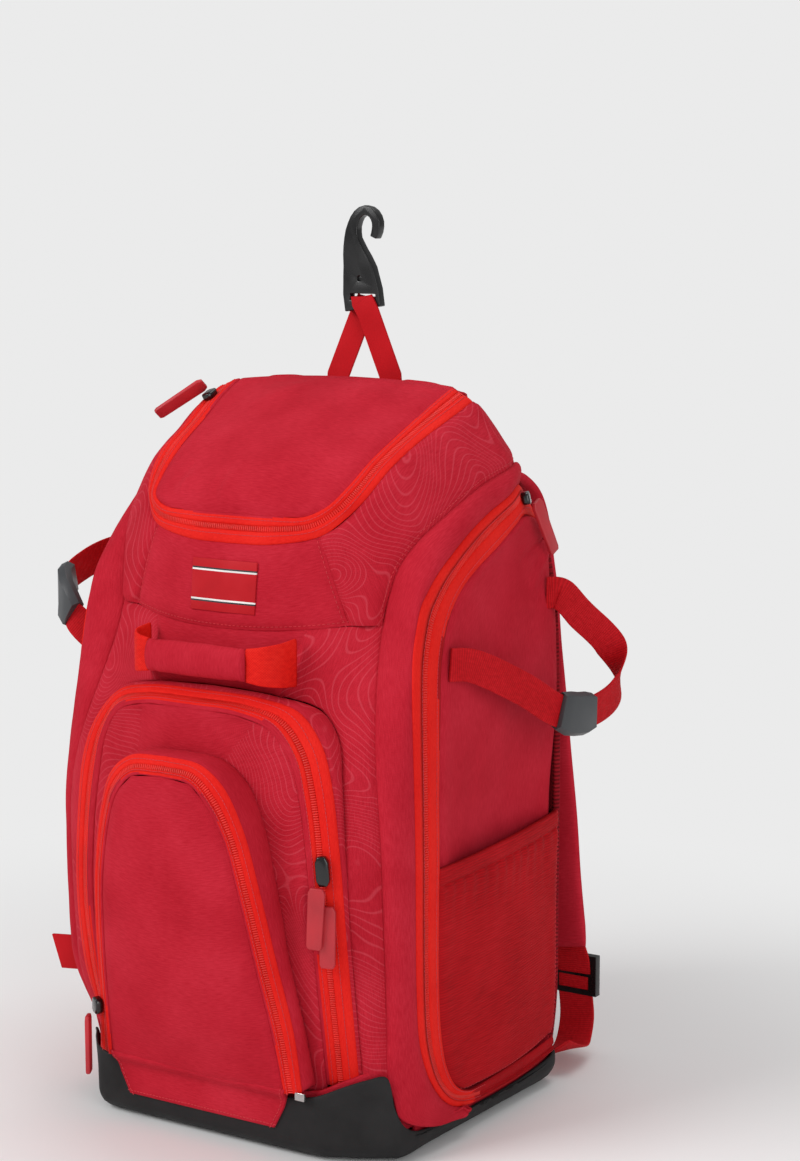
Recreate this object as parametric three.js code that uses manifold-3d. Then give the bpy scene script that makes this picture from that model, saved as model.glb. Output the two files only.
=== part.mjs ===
// A tall bat backpack that stands on a moulded base: cloth panels, zipper bands, pockets, sleeves, harness.
// Millimetres, +Z up, +X to the viewer's right, the front faces -Y, origin under the middle of the base.
import * as THREE from "three";
import Module from "manifold-3d";
import { mergeVertices } from "three/addons/utils/BufferGeometryUtils.js";

const wasm = await Module();
wasm.setup();

// Driving sizes of the packed bag
const BODY = { width: 320, depth: 250, height: 560 };

// Walls, gaps and bands
const CLOTH = 2.4;
const TAPE = 1.5;
const BACK_PAD = 8;
const SEAM_GAP = 0.5;
const SEAT_GAP = 0.4;
const STEPS = 2;

// Moulded base
const BASE = { wall: 3, floor: 4, roundBottom: 18, roundHeight: 16 };

// Stretch pockets at the sides
const POCKET = { front: 212, back: 222, hem: 12, lift: 2.5, puff: 5 };
const RECESS = { drop: 3, deep: 13, rim: 0.32, inset: 6, from: 330, fade: 104 };

// Bat sleeves: open tubes behind the crest
const SLEEVE = { x: 66, y: 100, radiusX: 26.5, radiusY: 28, wall: 2, bottom: 60, proud: 3, sides: 16 };

// Webbing, handle and straps
const WEBBING = { thick: 2 };
const GRIP = { half: 45, y: -124, z: 365, tall: 24, deep: 13, sides: 12 };
const GRIP_END = { width: 25, flare: 36, thick: 3 };
const STRAP = { width: 64, tip: 50, thick: 12 };
const LOCK = { width: 42, tall: 34, thick: 7, rim: 7, window: 11 };
const LOWER = { width: 32 };
const GLOVE = { width: 25, buckleLong: 46, buckleWide: 34, buckleThick: 11 };

// Fence hook and its webbing
const HOOK = { y: 95, thick: 8, slotWide: 24, slotTall: 5, bar: 7, hole: 4, holeOver: 12, over: 55 };
const HOOK_FOOT = BODY.height + HOOK.over;
const HOOK_WEB = { width: 20, foot: 27, rise: 5, slack: 0.9 };

// Label, tab, loop and zipper hardware
const LABEL = { width: 60, tall: 39, thick: 1.4, z: 416 };
const TAB = { top: 79, bottom: 68, high: 44, low: 21, thick: 1.8 };
const LOOP = { out: 24, tall: 28, thick: 2.8, z: 104, gap: 1.4 };
const SLIDER = { long: 13, pairLong: 22, wide: 10, high: 6.6, gap: 0.8, cornerGap: 1.4 };
const PULL = { long: 46, wide: 13, thick: 3.4 };

// Heights of the sliders on their zippers, in shares of the body
const SLIDER_AT = { top: 0.9696, large: 0.3964, small: 0.1607 };

// How each pull hangs: lift off its slider, offset of its upper end, its way and its width direction
const PULL_HANG = {
  top: { lift: 7.5, offset: [0, 0, 0], way: [-0.72, -0.42, -0.55], across: [0.2, 0.9, -0.4] },
  front: { lift: 0, offset: [-2, -3.2, -11.4], way: [-0.06, 0, -1], across: [1, 0.3, 0] },
  rear: { lift: 0, offset: [3, 2.7, -25.4], way: [0, 0, -1], across: [1, 0.3, 0] },
  small: { lift: 5, offset: [0, 0, -6], way: [0, 0, -1], across: [-0.5, 0.86, 0] },
  side: { lift: 5, offset: [0, 0, -4], way: [0.12, 0.42, -0.9], across: [0, 0.9, 0.42] },
};

// Cores that the walls are thickened towards, in shares of the body
const BODY_CORE = { x: 0.625, front: -0.16, back: 0.4, low: 0.125, high: 0.768 };
const LARGE_CORE = { x: 0.56, front: -0.4, back: -0.24, low: 0.04, high: 0.5 };
const SMALL_CORE = { x: 0.34, front: -0.44, back: -0.4, low: 0.05, high: 0.45 };

// Top zipper, from the middle of its foot up to the crest; shares of half width, depth and height
const TOP_ZIP = [
  { outer: [0, -0.348, 0.8], inner: [0, -0.32, 0.839] },
  { outer: [0.238, -0.34, 0.802], inner: [0.206, -0.32, 0.839] },
  { outer: [0.478, -0.3, 0.816], inner: [0.406, -0.314, 0.841] },
  { outer: [0.575, -0.252, 0.84], inner: [0.497, -0.288, 0.854] },
  { outer: [0.631, -0.212, 0.863], inner: [0.538, -0.22, 0.877] },
  { outer: [0.678, -0.12, 0.902], inner: [0.5625, -0.112, 0.911] },
  { outer: [0.706, 0.022, 0.936], inner: [0.5875, 0.032, 0.946] },
  { outer: [0.75, 0.144, 0.963], inner: [0.6125, 0.152, 0.976] },
  { outer: [0.7625, 0.248, 0.981], inner: [0.628, 0.256, 0.998] },
];
const TOP_CORNER = 2;

// Middle line of the lid beside the inner zipper edge, from its foot to the crest
const LID_LINE = [
  { y: -0.32, z: 0.839 },
  { y: -0.304, z: 0.859 },
  { y: -0.24, z: 0.891 },
  { y: -0.124, z: 0.929 },
  { y: 0.032, z: 0.968 },
  { y: 0.16, z: 0.993 },
  { y: 0.28, z: 1.006 },
];

// Yoke and centre panel under the lid: side edge and middle line
const YOKE = [
  { side: [0.478, -0.3, 0.816], middle: [0, -0.348, 0.8] },
  { side: [0.55, -0.3, 0.759], middle: [0, -0.364, 0.743] },
  { side: [0.619, -0.284, 0.7], middle: [0, -0.376, 0.686] },
];
const CENTRE = [
  { side: [0.4375, -0.336, 0.693], middle: [0, -0.376, 0.686] },
  { side: [0.4, -0.368, 0.648], middle: [0, -0.392, 0.648] },
  { side: [0.3625, -0.396, 0.606], middle: [0, -0.408, 0.6125] },
];

// Large pocket, from the middle of its arch down to the base; foot is where its side wall meets the body
const LARGE = [
  { outer: [0, -0.46, 0.611], inner: [0, -0.544, 0.593], foot: [0, -0.408, 0.6125] },
  { outer: [0.3125, -0.458, 0.609], inner: [0.2625, -0.54, 0.591], foot: [0.3625, -0.396, 0.606] },
  { outer: [0.525, -0.448, 0.595], inner: [0.4375, -0.524, 0.575], foot: [0.5625, -0.368, 0.593] },
  { outer: [0.656, -0.456, 0.557], inner: [0.5375, -0.512, 0.536], foot: [0.681, -0.384, 0.557] },
  { outer: [0.725, -0.47, 0.509], inner: [0.581, -0.508, 0.489], foot: [0.744, -0.428, 0.511] },
  { outer: [0.775, -0.472, 0.407], inner: [0.625, -0.508, 0.404], foot: [0.791, -0.454, 0.407] },
  { outer: [0.8, -0.46, 0.286], inner: [0.65, -0.496, 0.286], foot: [0.8125, -0.448, 0.286] },
  { outer: [0.794, -0.392, 0.098], inner: [0.644, -0.424, 0.098], foot: [0.806, -0.38, 0.098] },
];
const LARGE_LINE = [
  { y: -0.544, z: 0.593 },
  { y: -0.546, z: 0.575 },
  { y: -0.544, z: 0.536 },
  { y: -0.54, z: 0.489 },
  { y: -0.532, z: 0.404 },
  { y: -0.516, z: 0.286 },
  { y: -0.44, z: 0.098 },
];

// Small pocket on the large one
const SMALL = [
  { outer: [0, -0.652, 0.536], inner: [0, -0.68, 0.511] },
  { outer: [0.2, -0.652, 0.531], inner: [0.169, -0.68, 0.506] },
  { outer: [0.325, -0.648, 0.505], inner: [0.2625, -0.676, 0.479] },
  { outer: [0.4125, -0.632, 0.452], inner: [0.331, -0.66, 0.439] },
  { outer: [0.484, -0.61, 0.366], inner: [0.397, -0.642, 0.3625] },
  { outer: [0.531, -0.576, 0.277], inner: [0.444, -0.608, 0.273] },
  { outer: [0.575, -0.528, 0.175], inner: [0.4875, -0.56, 0.173] },
  { outer: [0.6, -0.512, 0.096], inner: [0.5125, -0.524, 0.091] },
];
const SMALL_LINE = [
  { y: -0.68, z: 0.511 },
  { y: -0.686, z: 0.479 },
  { y: -0.688, z: 0.439 },
  { y: -0.676, z: 0.3625 },
  { y: -0.644, z: 0.273 },
  { y: -0.592, z: 0.173 },
  { y: -0.524, z: 0.086 },
];

// Side, from the back of the roof round the front corner to the base: gusset seam and the two zipper edges
const SIDE = [
  { seam: [0.7, 0.512, 0.884], outer: [0.775, 0.512, 0.854], inner: [0.881, 0.512, 0.8125] },
  { seam: [0.8625, 0.392, 0.895], outer: [0.894, 0.38, 0.864], inner: [0.931, 0.384, 0.823] },
  { seam: [0.9375, 0.28, 0.891], outer: [0.956, 0.264, 0.854], inner: [0.9625, 0.304, 0.814] },
  { seam: [0.931, 0.152, 0.877], outer: [0.959, 0.144, 0.836], inner: [0.969, 0.2, 0.791] },
  { seam: [0.925, 0.04, 0.859], outer: [0.9625, 0.032, 0.814], inner: [0.969, 0.088, 0.768] },
  { seam: [0.894, -0.056, 0.836], outer: [0.9625, -0.056, 0.791], inner: [0.969, 0, 0.746] },
  { seam: [0.856, -0.124, 0.814], outer: [0.9625, -0.136, 0.768], inner: [0.972, -0.056, 0.725] },
  { seam: [0.831, -0.164, 0.796], outer: [0.9625, -0.188, 0.748], inner: [0.975, -0.092, 0.704] },
  { seam: [0.806, -0.196, 0.775], outer: [0.9625, -0.228, 0.729], inner: [0.978, -0.116, 0.682] },
  { seam: [0.781, -0.224, 0.739], outer: [0.966, -0.256, 0.7], inner: [0.981, -0.136, 0.654] },
  { seam: [0.7625, -0.24, 0.702], outer: [0.969, -0.276, 0.668], inner: [0.9875, -0.148, 0.625] },
  { seam: [0.7875, -0.296, 0.629], outer: [0.981, -0.292, 0.614], inner: [0.994, -0.156, 0.586] },
  { seam: [0.844, -0.36, 0.55], outer: [0.994, -0.3, 0.545], inner: [1, -0.164, 0.536] },
  { seam: [0.894, -0.392, 0.473], outer: [1.006, -0.304, 0.468], inner: [1.006, -0.172, 0.468] },
  { seam: [0.9125, -0.396, 0.409], outer: [1.0125, -0.306, 0.405], inner: [1.0125, -0.176, 0.405] },
  { seam: [0.916, -0.388, 0.321], outer: [1.0125, -0.304, 0.321], inner: [1.0125, -0.18, 0.321] },
  { seam: [0.916, -0.376, 0.234], outer: [1.0125, -0.3, 0.234], inner: [1.0125, -0.18, 0.234] },
  { seam: [0.916, -0.37, 0.161], outer: [1.0125, -0.284, 0.157], inner: [1.0125, -0.164, 0.15] },
  { seam: [0.919, -0.37, 0.121], outer: [1.0125, -0.244, 0.111], inner: [1.0125, -0.132, 0.102] },
  { seam: [0.956, -0.368, 0.0875], outer: [1.0125, -0.208, 0.086], inner: [1.0125, -0.08, 0.071] },
  { seam: [0.9875, -0.36, 0.059], outer: [1.0125, -0.16, 0.0625], inner: [1.0125, -0.008, 0.057] },
  { seam: [1.0125, -0.24, 0.0375], outer: [1.0125, -0.096, 0.0446], inner: [1.0125, 0.08, 0.057] },
  { seam: [1.0125, -0.056, 0.0325], outer: [1.0125, -0.016, 0.036], inner: [1.0125, 0.176, 0.059] },
];
const SIDE_FOOT = [
  { outer: [1.0125, 0.144, 0.034], inner: [1.011, 0.264, 0.0607] },
  { outer: [1.0125, 0.336, 0.0375], inner: [1.008, 0.384, 0.0634] },
  { outer: [1.006, 0.504, 0.0465], inner: [1.003, 0.504, 0.068] },
];
const YOKE_ROW = 10;
const BASE_ROW = 18;
const CORNER_ROW = 20;
const DOOR_STEP = 2;
const POCKET_TOP_ROW = 13;

// Back panel: edge at the side seam and middle line, from the top down
const BACK = [
  { side: [0.55, 0.518, 0.945], middle: [0, 0.546, 0.957] },
  { side: [0.7, 0.52, 0.886], middle: [0, 0.552, 0.9] },
  { side: [0.88, 0.526, 0.8125], middle: [0, 0.556, 0.82] },
  { side: [0.97, 0.528, 0.714], middle: [0, 0.558, 0.716] },
  { side: [1, 0.528, 0.555], middle: [0, 0.558, 0.555] },
  { side: [1.003, 0.528, 0.268], middle: [0, 0.556, 0.268] },
  { side: [1, 0.528, 0.12], middle: [0, 0.552, 0.12] },
  { side: [0.975, 0.528, 0.053], middle: [0, 0.548, 0.053] },
];
const BACK_SEAM_Y = 0.524;

// Roof behind the crest: its back edge in the middle and at the side
const ROOF_BACK = { middle: [0, 0.541, 0.958], side: [0.55, 0.512, 0.95], rise: 0.006 };

// Rim of the base, from the middle of the front round to the middle of the back
const BASE_RIM = [
  { x: 0, y: -0.496, top: 0.078 },
  { x: 0.36, y: -0.496, top: 0.08 },
  { x: 0.55, y: -0.494, top: 0.084 },
  { x: 0.65, y: -0.488, top: 0.09 },
  { x: 0.7625, y: -0.456, top: 0.104 },
  { x: 0.8625, y: -0.424, top: 0.115 },
  { x: 0.9375, y: -0.39, top: 0.1185 },
  { x: 0.969, y: -0.376, top: 0.077 },
  { x: 0.997, y: -0.36, top: 0.054 },
  { x: 1.0125, y: -0.32, top: 0.041 },
  { x: 1.0125, y: -0.2, top: 0.033 },
  { x: 1.0125, y: -0.02, top: 0.0295 },
  { x: 1.0125, y: 0.15, top: 0.0305 },
  { x: 1.0125, y: 0.336, top: 0.034 },
  { x: 1.006, y: 0.504, top: 0.0425 },
  { x: 0.98, y: 0.54, top: 0.045 },
  { x: 0.9, y: 0.556, top: 0.047 },
  { x: 0.5, y: 0.564, top: 0.048 },
  { x: 0, y: 0.564, top: 0.048 },
];

// Shoulder strap, from its root on the back panel down to its lock
const STRAP_WAY = [
  { x: 0.5125, y: 0.5625, z: 0.868 },
  { x: 0.5125, y: 0.64, z: 0.857 },
  { x: 0.5125, y: 0.72, z: 0.832 },
  { x: 0.5125, y: 0.768, z: 0.795 },
  { x: 0.5125, y: 0.804, z: 0.732 },
  { x: 0.5125, y: 0.84, z: 0.67 },
  { x: 0.531, y: 0.848, z: 0.607 },
  { x: 0.5625, y: 0.852, z: 0.536 },
  { x: 0.606, y: 0.848, z: 0.446 },
  { x: 0.6625, y: 0.832, z: 0.357 },
  { x: 0.725, y: 0.8, z: 0.268 },
  { x: 0.785, y: 0.79, z: 0.16 },
];

// Lower webbing, from inside the lock to the back corner of the base; turn is the twist in degrees
const LOWER_WAY = [
  { x: 0.79, y: 0.823, z: 0.17, turn: 0 },
  { x: 0.818, y: 0.838, z: 0.134, turn: 0 },
  { x: 0.828, y: 0.842, z: 0.096, turn: 0 },
  { x: 0.85, y: 0.832, z: 0.05, turn: 3 },
  { x: 0.875, y: 0.775, z: 0.02, turn: 6 },
  { x: 0.92, y: 0.67, z: 0.024, turn: 20 },
  { x: 0.945, y: 0.572, z: 0.036, turn: 40 },
];

const LOCK_ROW = 1.5;

// Glove straps, from the front root round to the back seam; the left one is held higher
const GLOVE_WAY = [
  { x: 1.006, y: -0.12, z: 0.648 },
  { x: 1.06, y: -0.06, z: 0.645 },
  { x: 1.1875, y: 0.1, z: 0.607 },
  { x: 1.269, y: 0.24, z: 0.568 },
  { x: 1.281, y: 0.44, z: 0.557 },
  { x: 1.269, y: 0.6, z: 0.58 },
  { x: 1.2, y: 0.632, z: 0.629 },
  { x: 1.1, y: 0.544, z: 0.679 },
  { x: 1.04, y: 0.482, z: 0.71 },
  { x: 0.984, y: 0.458, z: 0.711 },
];
const GLOVE_WAY_LEFT = [
  { x: 1.028, y: -0.126, z: 0.62 },
  { x: 1.07, y: -0.14, z: 0.63 },
  { x: 1.2, y: -0.16, z: 0.665 },
  { x: 1.32, y: -0.1, z: 0.7 },
  { x: 1.375, y: 0.03, z: 0.72 },
  { x: 1.36, y: 0.18, z: 0.735 },
  { x: 1.28, y: 0.34, z: 0.735 },
  { x: 1.14, y: 0.45, z: 0.722 },
  { x: 1.044, y: 0.475, z: 0.711 },
  { x: 0.994, y: 0.461, z: 0.711 },
];
const BUCKLE_AT = { right: 0.42, left: 0.24 };

// Centre line of the hook above its plate: place in millimetres from the plate's foot, and its width there
const HOOK_LINE = [
  { x: 1, z: 0, wide: 34 },
  { x: -1, z: 14, wide: 34 },
  { x: -3.5, z: 30, wide: 29 },
  { x: -8, z: 45, wide: 20 },
  { x: -10, z: 56, wide: 13 },
  { x: -8.5, z: 66, wide: 9.5 },
  { x: -4, z: 74, wide: 8 },
  { x: 3, z: 77.5, wide: 7.5 },
  { x: 10, z: 74.5, wide: 7.5 },
  { x: 13.5, z: 68, wide: 7.5 },
  { x: 13, z: 61, wide: 7 },
  { x: 11, z: 56, wide: 6 },
];

const cloth = (color, roughness = 0.85) =>
  new THREE.MeshStandardMaterial({ color, roughness, metalness: 0 });
const CLOTH_RED = cloth(0xc3283a);
const TOPO_RED = cloth(0xc62a3c);
const TAPE_RED = cloth(0xe8251f, 0.7);
const WEB_RED = cloth(0xd3141f, 0.75);
const STRETCH_RED = cloth(0xc4161d, 0.8);
const MESH_RED = cloth(0xa81522, 0.9);
const LABEL_RED = cloth(0xc01c24, 0.6);
const PULL_RED = cloth(0xd23b40, 0.5);
const BASE_BLACK = cloth(0x221e20, 0.75);
const PLASTIC_BLACK = new THREE.MeshStandardMaterial({ color: 0x151415, roughness: 0.35, metalness: 0 });
const BUCKLE_GREY = new THREE.MeshStandardMaterial({ color: 0x35373a, roughness: 0.4, metalness: 0 });
const SLIDER_BLACK = new THREE.MeshStandardMaterial({ color: 0x101010, roughness: 0.3, metalness: 0.6 });

const vec = (x, y, z) => new THREE.Vector3(x, y, z);

// A point from shares of the half width, the depth and the height
function place([x, y, z]) {
  return vec((x * BODY.width) / 2, y * BODY.depth, z * BODY.height);
}

// A smooth line through a table's points, with the same steps between all of them
function smooth(points, steps = STEPS) {
  const curve = new THREE.CatmullRomCurve3(points, false, "centripetal");
  const count = (points.length - 1) * steps;
  return Array.from({ length: count + 1 }, (_, k) => curve.getPoint(k / count));
}

const line = (rows, column) => smooth(rows.map((row) => place(row[column])));
const flip = (point) => vec(-point.x, point.y, point.z);

// A line from the left end to the right end of a half line that starts in the middle
function bothSides(half) {
  return [...half.slice(1).reverse().map(flip), ...half];
}

// Lines joined end to end, each shared point once
function joined(...lines) {
  return lines.reduce((all, next) => [...all, ...next.slice(1)]);
}

// The way from a point towards the nearest place of a core inside the bag
function inwardTo(core) {
  return (point) => {
    const x = THREE.MathUtils.clamp(point.x, (-core.x * BODY.width) / 2, (core.x * BODY.width) / 2);
    const y = THREE.MathUtils.clamp(point.y, core.front * BODY.depth, core.back * BODY.depth);
    const z = THREE.MathUtils.clamp(point.z, core.low * BODY.height, core.high * BODY.height);
    return vec(x, y, z).sub(point).normalize();
  };
}
const INTO_BODY = inwardTo(BODY_CORE);
const INTO_LARGE = inwardTo(LARGE_CORE);
const INTO_SMALL = inwardTo(SMALL_CORE);

const moved = (from, to, distance) =>
  from.clone().addScaledVector(to.clone().sub(from).normalize(), distance);

// The place on a line that is nearest to a point
function nearestOn(points, target) {
  const spot = vec(0, 0, 0);
  let best = points[0];
  for (let k = 0; k + 1 < points.length; k += 1) {
    new THREE.Line3(points[k], points[k + 1]).closestPointToPoint(target, true, spot);
    if (spot.distanceTo(target) < best.distanceTo(target)) {
      best = spot.clone();
    }
  }
  return best;
}

// Rails drawn back from their neighbours by half a seam gap all round
function trimmed(rails) {
  const short = rails.map((rail) => {
    const last = rail.length - 1;
    const inner = rail.slice(1, last);
    const start = moved(rail[0], rail[1], SEAM_GAP / 2);
    const end = moved(rail[last], rail[last - 1], SEAM_GAP / 2);
    return [start, ...inner, end];
  });
  const last = short.length - 1;
  const away = (rail, next) => rail.map((point) => moved(point, nearestOn(next, point), SEAM_GAP / 2));
  return short.map((rail, k) => {
    if (k === 0) {
      return away(rail, rails[1]);
    }
    return k === last ? away(rail, rails[last - 1]) : rail;
  });
}

// Triangles between two rails, each step taken along the shorter diagonal
function stitched(upper, lower, upperStart, lowerStart) {
  const triangles = [];
  let a = 0;
  let b = 0;
  while (a < upper.length - 1 || b < lower.length - 1) {
    const alongUpper = a < upper.length - 1 ? upper[a + 1].distanceTo(lower[b]) : Infinity;
    const alongLower = b < lower.length - 1 ? upper[a].distanceTo(lower[b + 1]) : Infinity;
    if (alongUpper < alongLower) {
      triangles.push([upperStart + a, upperStart + a + 1, lowerStart + b]);
      a += 1;
    } else {
      triangles.push([upperStart + a, lowerStart + b + 1, lowerStart + b]);
      b += 1;
    }
  }
  return triangles;
}

// Signed volume of a closed mesh
function volumeOf(points, triangles) {
  return triangles.reduce((sum, [a, b, c]) => {
    return sum + points[a].dot(points[b].clone().cross(points[c])) / 6;
  }, 0);
}

// A closed geometry with its faces pointing out
function closedGeometry(points, triangles) {
  const outward = volumeOf(points, triangles) > 0;
  const faces = outward ? triangles : triangles.map(([a, b, c]) => [a, c, b]);
  const geometry = new THREE.BufferGeometry();
  geometry.setAttribute("position", new THREE.Float32BufferAttribute(points.flatMap((p) => p.toArray()), 3));
  geometry.setIndex(faces.flat());
  return geometry;
}

// A cloth wall through rails that run side by side, thickened inwards
function wall(rawRails, inward = INTO_BODY, thick = CLOTH) {
  const rails = trimmed(rawRails);
  const outer = rails.flat();
  const triangles = [];
  let start = 0;
  for (let k = 0; k + 1 < rails.length; k += 1) {
    triangles.push(...stitched(rails[k], rails[k + 1], start, start + rails[k].length));
    start += rails[k].length;
  }
  const count = outer.length;
  const points = [...outer, ...outer.map((point) => point.clone().addScaledVector(inward(point), thick))];
  const used = new Set(triangles.flatMap(([a, b, c]) => [`${a},${b}`, `${b},${c}`, `${c},${a}`]));
  const inside = triangles.map(([a, b, c]) => [a + count, c + count, b + count]);
  const edges = [];
  for (const key of used) {
    const [a, b] = key.split(",").map(Number);
    if (!used.has(`${b},${a}`)) {
      edges.push([b, a, a + count], [b, a + count, b + count]);
    }
  }
  return closedGeometry(points, [...triangles, ...inside, ...edges]);
}

// A closed skin through rings of equally many points, capped at both ends
function skin(rings) {
  const size = rings[0].length;
  const points = rings.flat();
  const triangles = [];
  for (let k = 0; k + 1 < rings.length; k += 1) {
    for (let j = 0; j < size; j += 1) {
      const a = k * size + j;
      const b = k * size + ((j + 1) % size);
      triangles.push([a, b, b + size], [a, b + size, a + size]);
    }
  }
  const last = points.length - size;
  for (let j = 1; j + 1 < size; j += 1) {
    triangles.push([0, j + 1, j], [last, last + j, last + j + 1]);
  }
  return closedGeometry(points, triangles);
}

// A flat band along a path; sideOf gives the way across its width, widthOf its width at each point
function band(path, sideOf, widthOf, thick, bevel = 0) {
  const rings = path.map((point, k) => {
    const before = path[Math.max(k - 1, 0)];
    const after = path[Math.min(k + 1, path.length - 1)];
    const along = after.clone().sub(before).normalize();
    const across = sideOf(k, along);
    across.addScaledVector(along, -across.dot(along)).normalize();
    const up = along.clone().cross(across);
    const w = widthOf(k) / 2;
    const t = thick / 2;
    const corners = bevel
      ? [[-w, 0], [bevel - w, -t], [w - bevel, -t], [w, 0], [w - bevel, t], [bevel - w, t]]
      : [[-w, -t], [w, -t], [w, t], [-w, t]];
    return corners.map(([s, u]) => point.clone().addScaledVector(across, s).addScaledVector(up, u));
  });
  return skin(rings);
}

// Boolean work on closed geometries
function solidOf(geometry) {
  const bare = geometry.clone();
  bare.deleteAttribute("normal");
  bare.deleteAttribute("uv");
  const merged = mergeVertices(bare, 1e-4);
  const vertProperties = new Float32Array(merged.attributes.position.array);
  const triVerts = new Uint32Array(merged.index.array);
  return new wasm.Manifold(new wasm.Mesh({ numProp: 3, vertProperties, triVerts }));
}

function geometryOf(solid) {
  const mesh = solid.getMesh();
  const geometry = new THREE.BufferGeometry();
  geometry.setAttribute("position", new THREE.Float32BufferAttribute(mesh.vertProperties, 3));
  geometry.setIndex([...mesh.triVerts]);
  return geometry;
}

function cut(geometry, ...tools) {
  return geometryOf(tools.reduce((solid, tool) => solid.subtract(solidOf(tool)), solidOf(geometry)));
}

// Rails across a panel that is the same on both sides: a rim at its top, its side edge and its middle line
function crowned(rim, side, middle, powerY, powerZ) {
  const corner = rim[rim.length - 1];
  const shares = rim.map((point) => point.x / corner.x);
  return side.map((edge, k) => {
    const centre = middle[k];
    const half = shares.map((share, j) => {
      if (k === 0) {
        return rim[j];
      }
      const y = THREE.MathUtils.lerp(centre.y, edge.y, share ** powerY);
      const z = THREE.MathUtils.lerp(centre.z, edge.z, share ** powerZ);
      return vec(edge.x * share, y, z);
    });
    return bothSides(half);
  });
}

// The depth of a panel's outer face at a place seen from the front
function depthAt(rails, x, z) {
  const spot = vec(0, 0, 0);
  for (let k = 0; k + 1 < rails.length; k += 1) {
    const points = [...rails[k], ...rails[k + 1]];
    for (const [a, b, c] of stitched(rails[k], rails[k + 1], 0, rails[k].length)) {
      const [p, q, r] = [points[a], points[b], points[c]];
      const flat = [p, q, r].map((point) => vec(point.x, 0, point.z));
      THREE.Triangle.getBarycoord(vec(x, 0, z), ...flat, spot);
      if (Math.min(spot.x, spot.y, spot.z) >= -1e-6) {
        return p.y * spot.x + q.y * spot.y + r.y * spot.z;
      }
    }
  }
  return rails[rails.length - 1][0].y;
}

// The height of a panel's outer face at a place seen from above
function heightAt(rails, x, y) {
  const turned = rails.map((rail) => rail.map((point) => vec(point.x, point.z, point.y)));
  return depthAt(turned, x, y);
}

// Rails between two lines with equally many points, pushed outwards in the middle
function between(first, last, inward, puff, steps = 3) {
  return Array.from({ length: steps + 1 }, (_, k) => {
    const share = k / steps;
    return first.map((point, j) => {
      const mid = point.clone().lerp(last[j], share);
      return mid.addScaledVector(inward(mid), -puff * 4 * share * (1 - share));
    });
  });
}

// The part of a line below a height, from the place where it passes that height
function below(points, height) {
  const first = points.findIndex((point) => point.z < height);
  const [upper, lower] = [points[first - 1], points[first]];
  const share = (upper.z - height) / (upper.z - lower.z);
  return [upper.clone().lerp(lower, share), ...points.slice(first)];
}

// The place on a line that falls steadily, at a given height
function atHeight(points, height) {
  const first = points.findIndex((point) => point.z <= height);
  if (first <= 0) {
    return points[first === 0 ? 0 : points.length - 1].clone();
  }
  const [upper, lower] = [points[first - 1], points[first]];
  return upper.clone().lerp(lower, (upper.z - height) / (upper.z - lower.z));
}

const bag = new THREE.Group();

function add(name, geometry, material) {
  const mesh = new THREE.Mesh(geometry, material);
  mesh.name = name;
  bag.add(mesh);
  return mesh;
}

// The same geometry on both sides: the right one as built, the left one mirrored
function addPair(name, geometry, material) {
  add(`${name}_right`, geometry, material);
  const mirrored = geometry.clone();
  mirrored.applyMatrix4(new THREE.Matrix4().makeScale(-1, 1, 1));
  const index = mirrored.index.array;
  for (let k = 0; k < index.length; k += 3) {
    [index[k + 1], index[k + 2]] = [index[k + 2], index[k + 1]];
  }
  add(`${name}_left`, mirrored, material);
}

// Shared seam lines
const topOuter = line(TOP_ZIP, "outer");
const topInner = line(TOP_ZIP, "inner");
const largeOuter = line(LARGE, "outer");
const largeInner = line(LARGE, "inner");
const largeFoot = line(LARGE, "foot");
const smallOuter = line(SMALL, "outer");
const smallInner = line(SMALL, "inner");
const sideSeam = line(SIDE, "seam");
const sideOuter = line([...SIDE, ...SIDE_FOOT], "outer");
const sideInner = line([...SIDE, ...SIDE_FOOT], "inner");
const backEdge = line(BACK, "side");
const corner = TOP_CORNER * STEPS;

// Lid and the zipper band round it
const lidLine = smooth(LID_LINE.map(({ y, z }) => place([0, y, z])));
const lidRails = crowned(topInner.slice(0, corner + 1), topInner.slice(corner), lidLine, 2.2, 2.2);
add("lid", wall(lidRails), CLOTH_RED);
add("top_zipper", wall([bothSides(topOuter), bothSides(topInner)], INTO_BODY, TAPE), TAPE_RED);

// Roof behind the crest, with a mouth for each bat sleeve
function roofRails() {
  const lidTop = lidRails[lidRails.length - 1];
  const crest = [...lidTop.slice((lidTop.length - 1) / 2), topOuter[topOuter.length - 1]];
  const [middle, side] = [place(ROOF_BACK.middle), place(ROOF_BACK.side)];
  const endX = crest[crest.length - 1].x;
  const back = crest.map((point) => {
    const share = point.x / endX;
    const end = middle.clone().lerp(side, share ** 4);
    return vec(side.x * share, end.y, end.z);
  });
  const rise = ROOF_BACK.rise * BODY.height;
  return Array.from({ length: 2 * STEPS + 1 }, (_, k) => {
    const share = k / (2 * STEPS);
    const half = crest.map((point, j) => {
      return point.clone().lerp(back[j], share).add(vec(0, 0, 4 * rise * share * (1 - share)));
    });
    return bothSides(half);
  });
}
const roof = roofRails();

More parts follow.
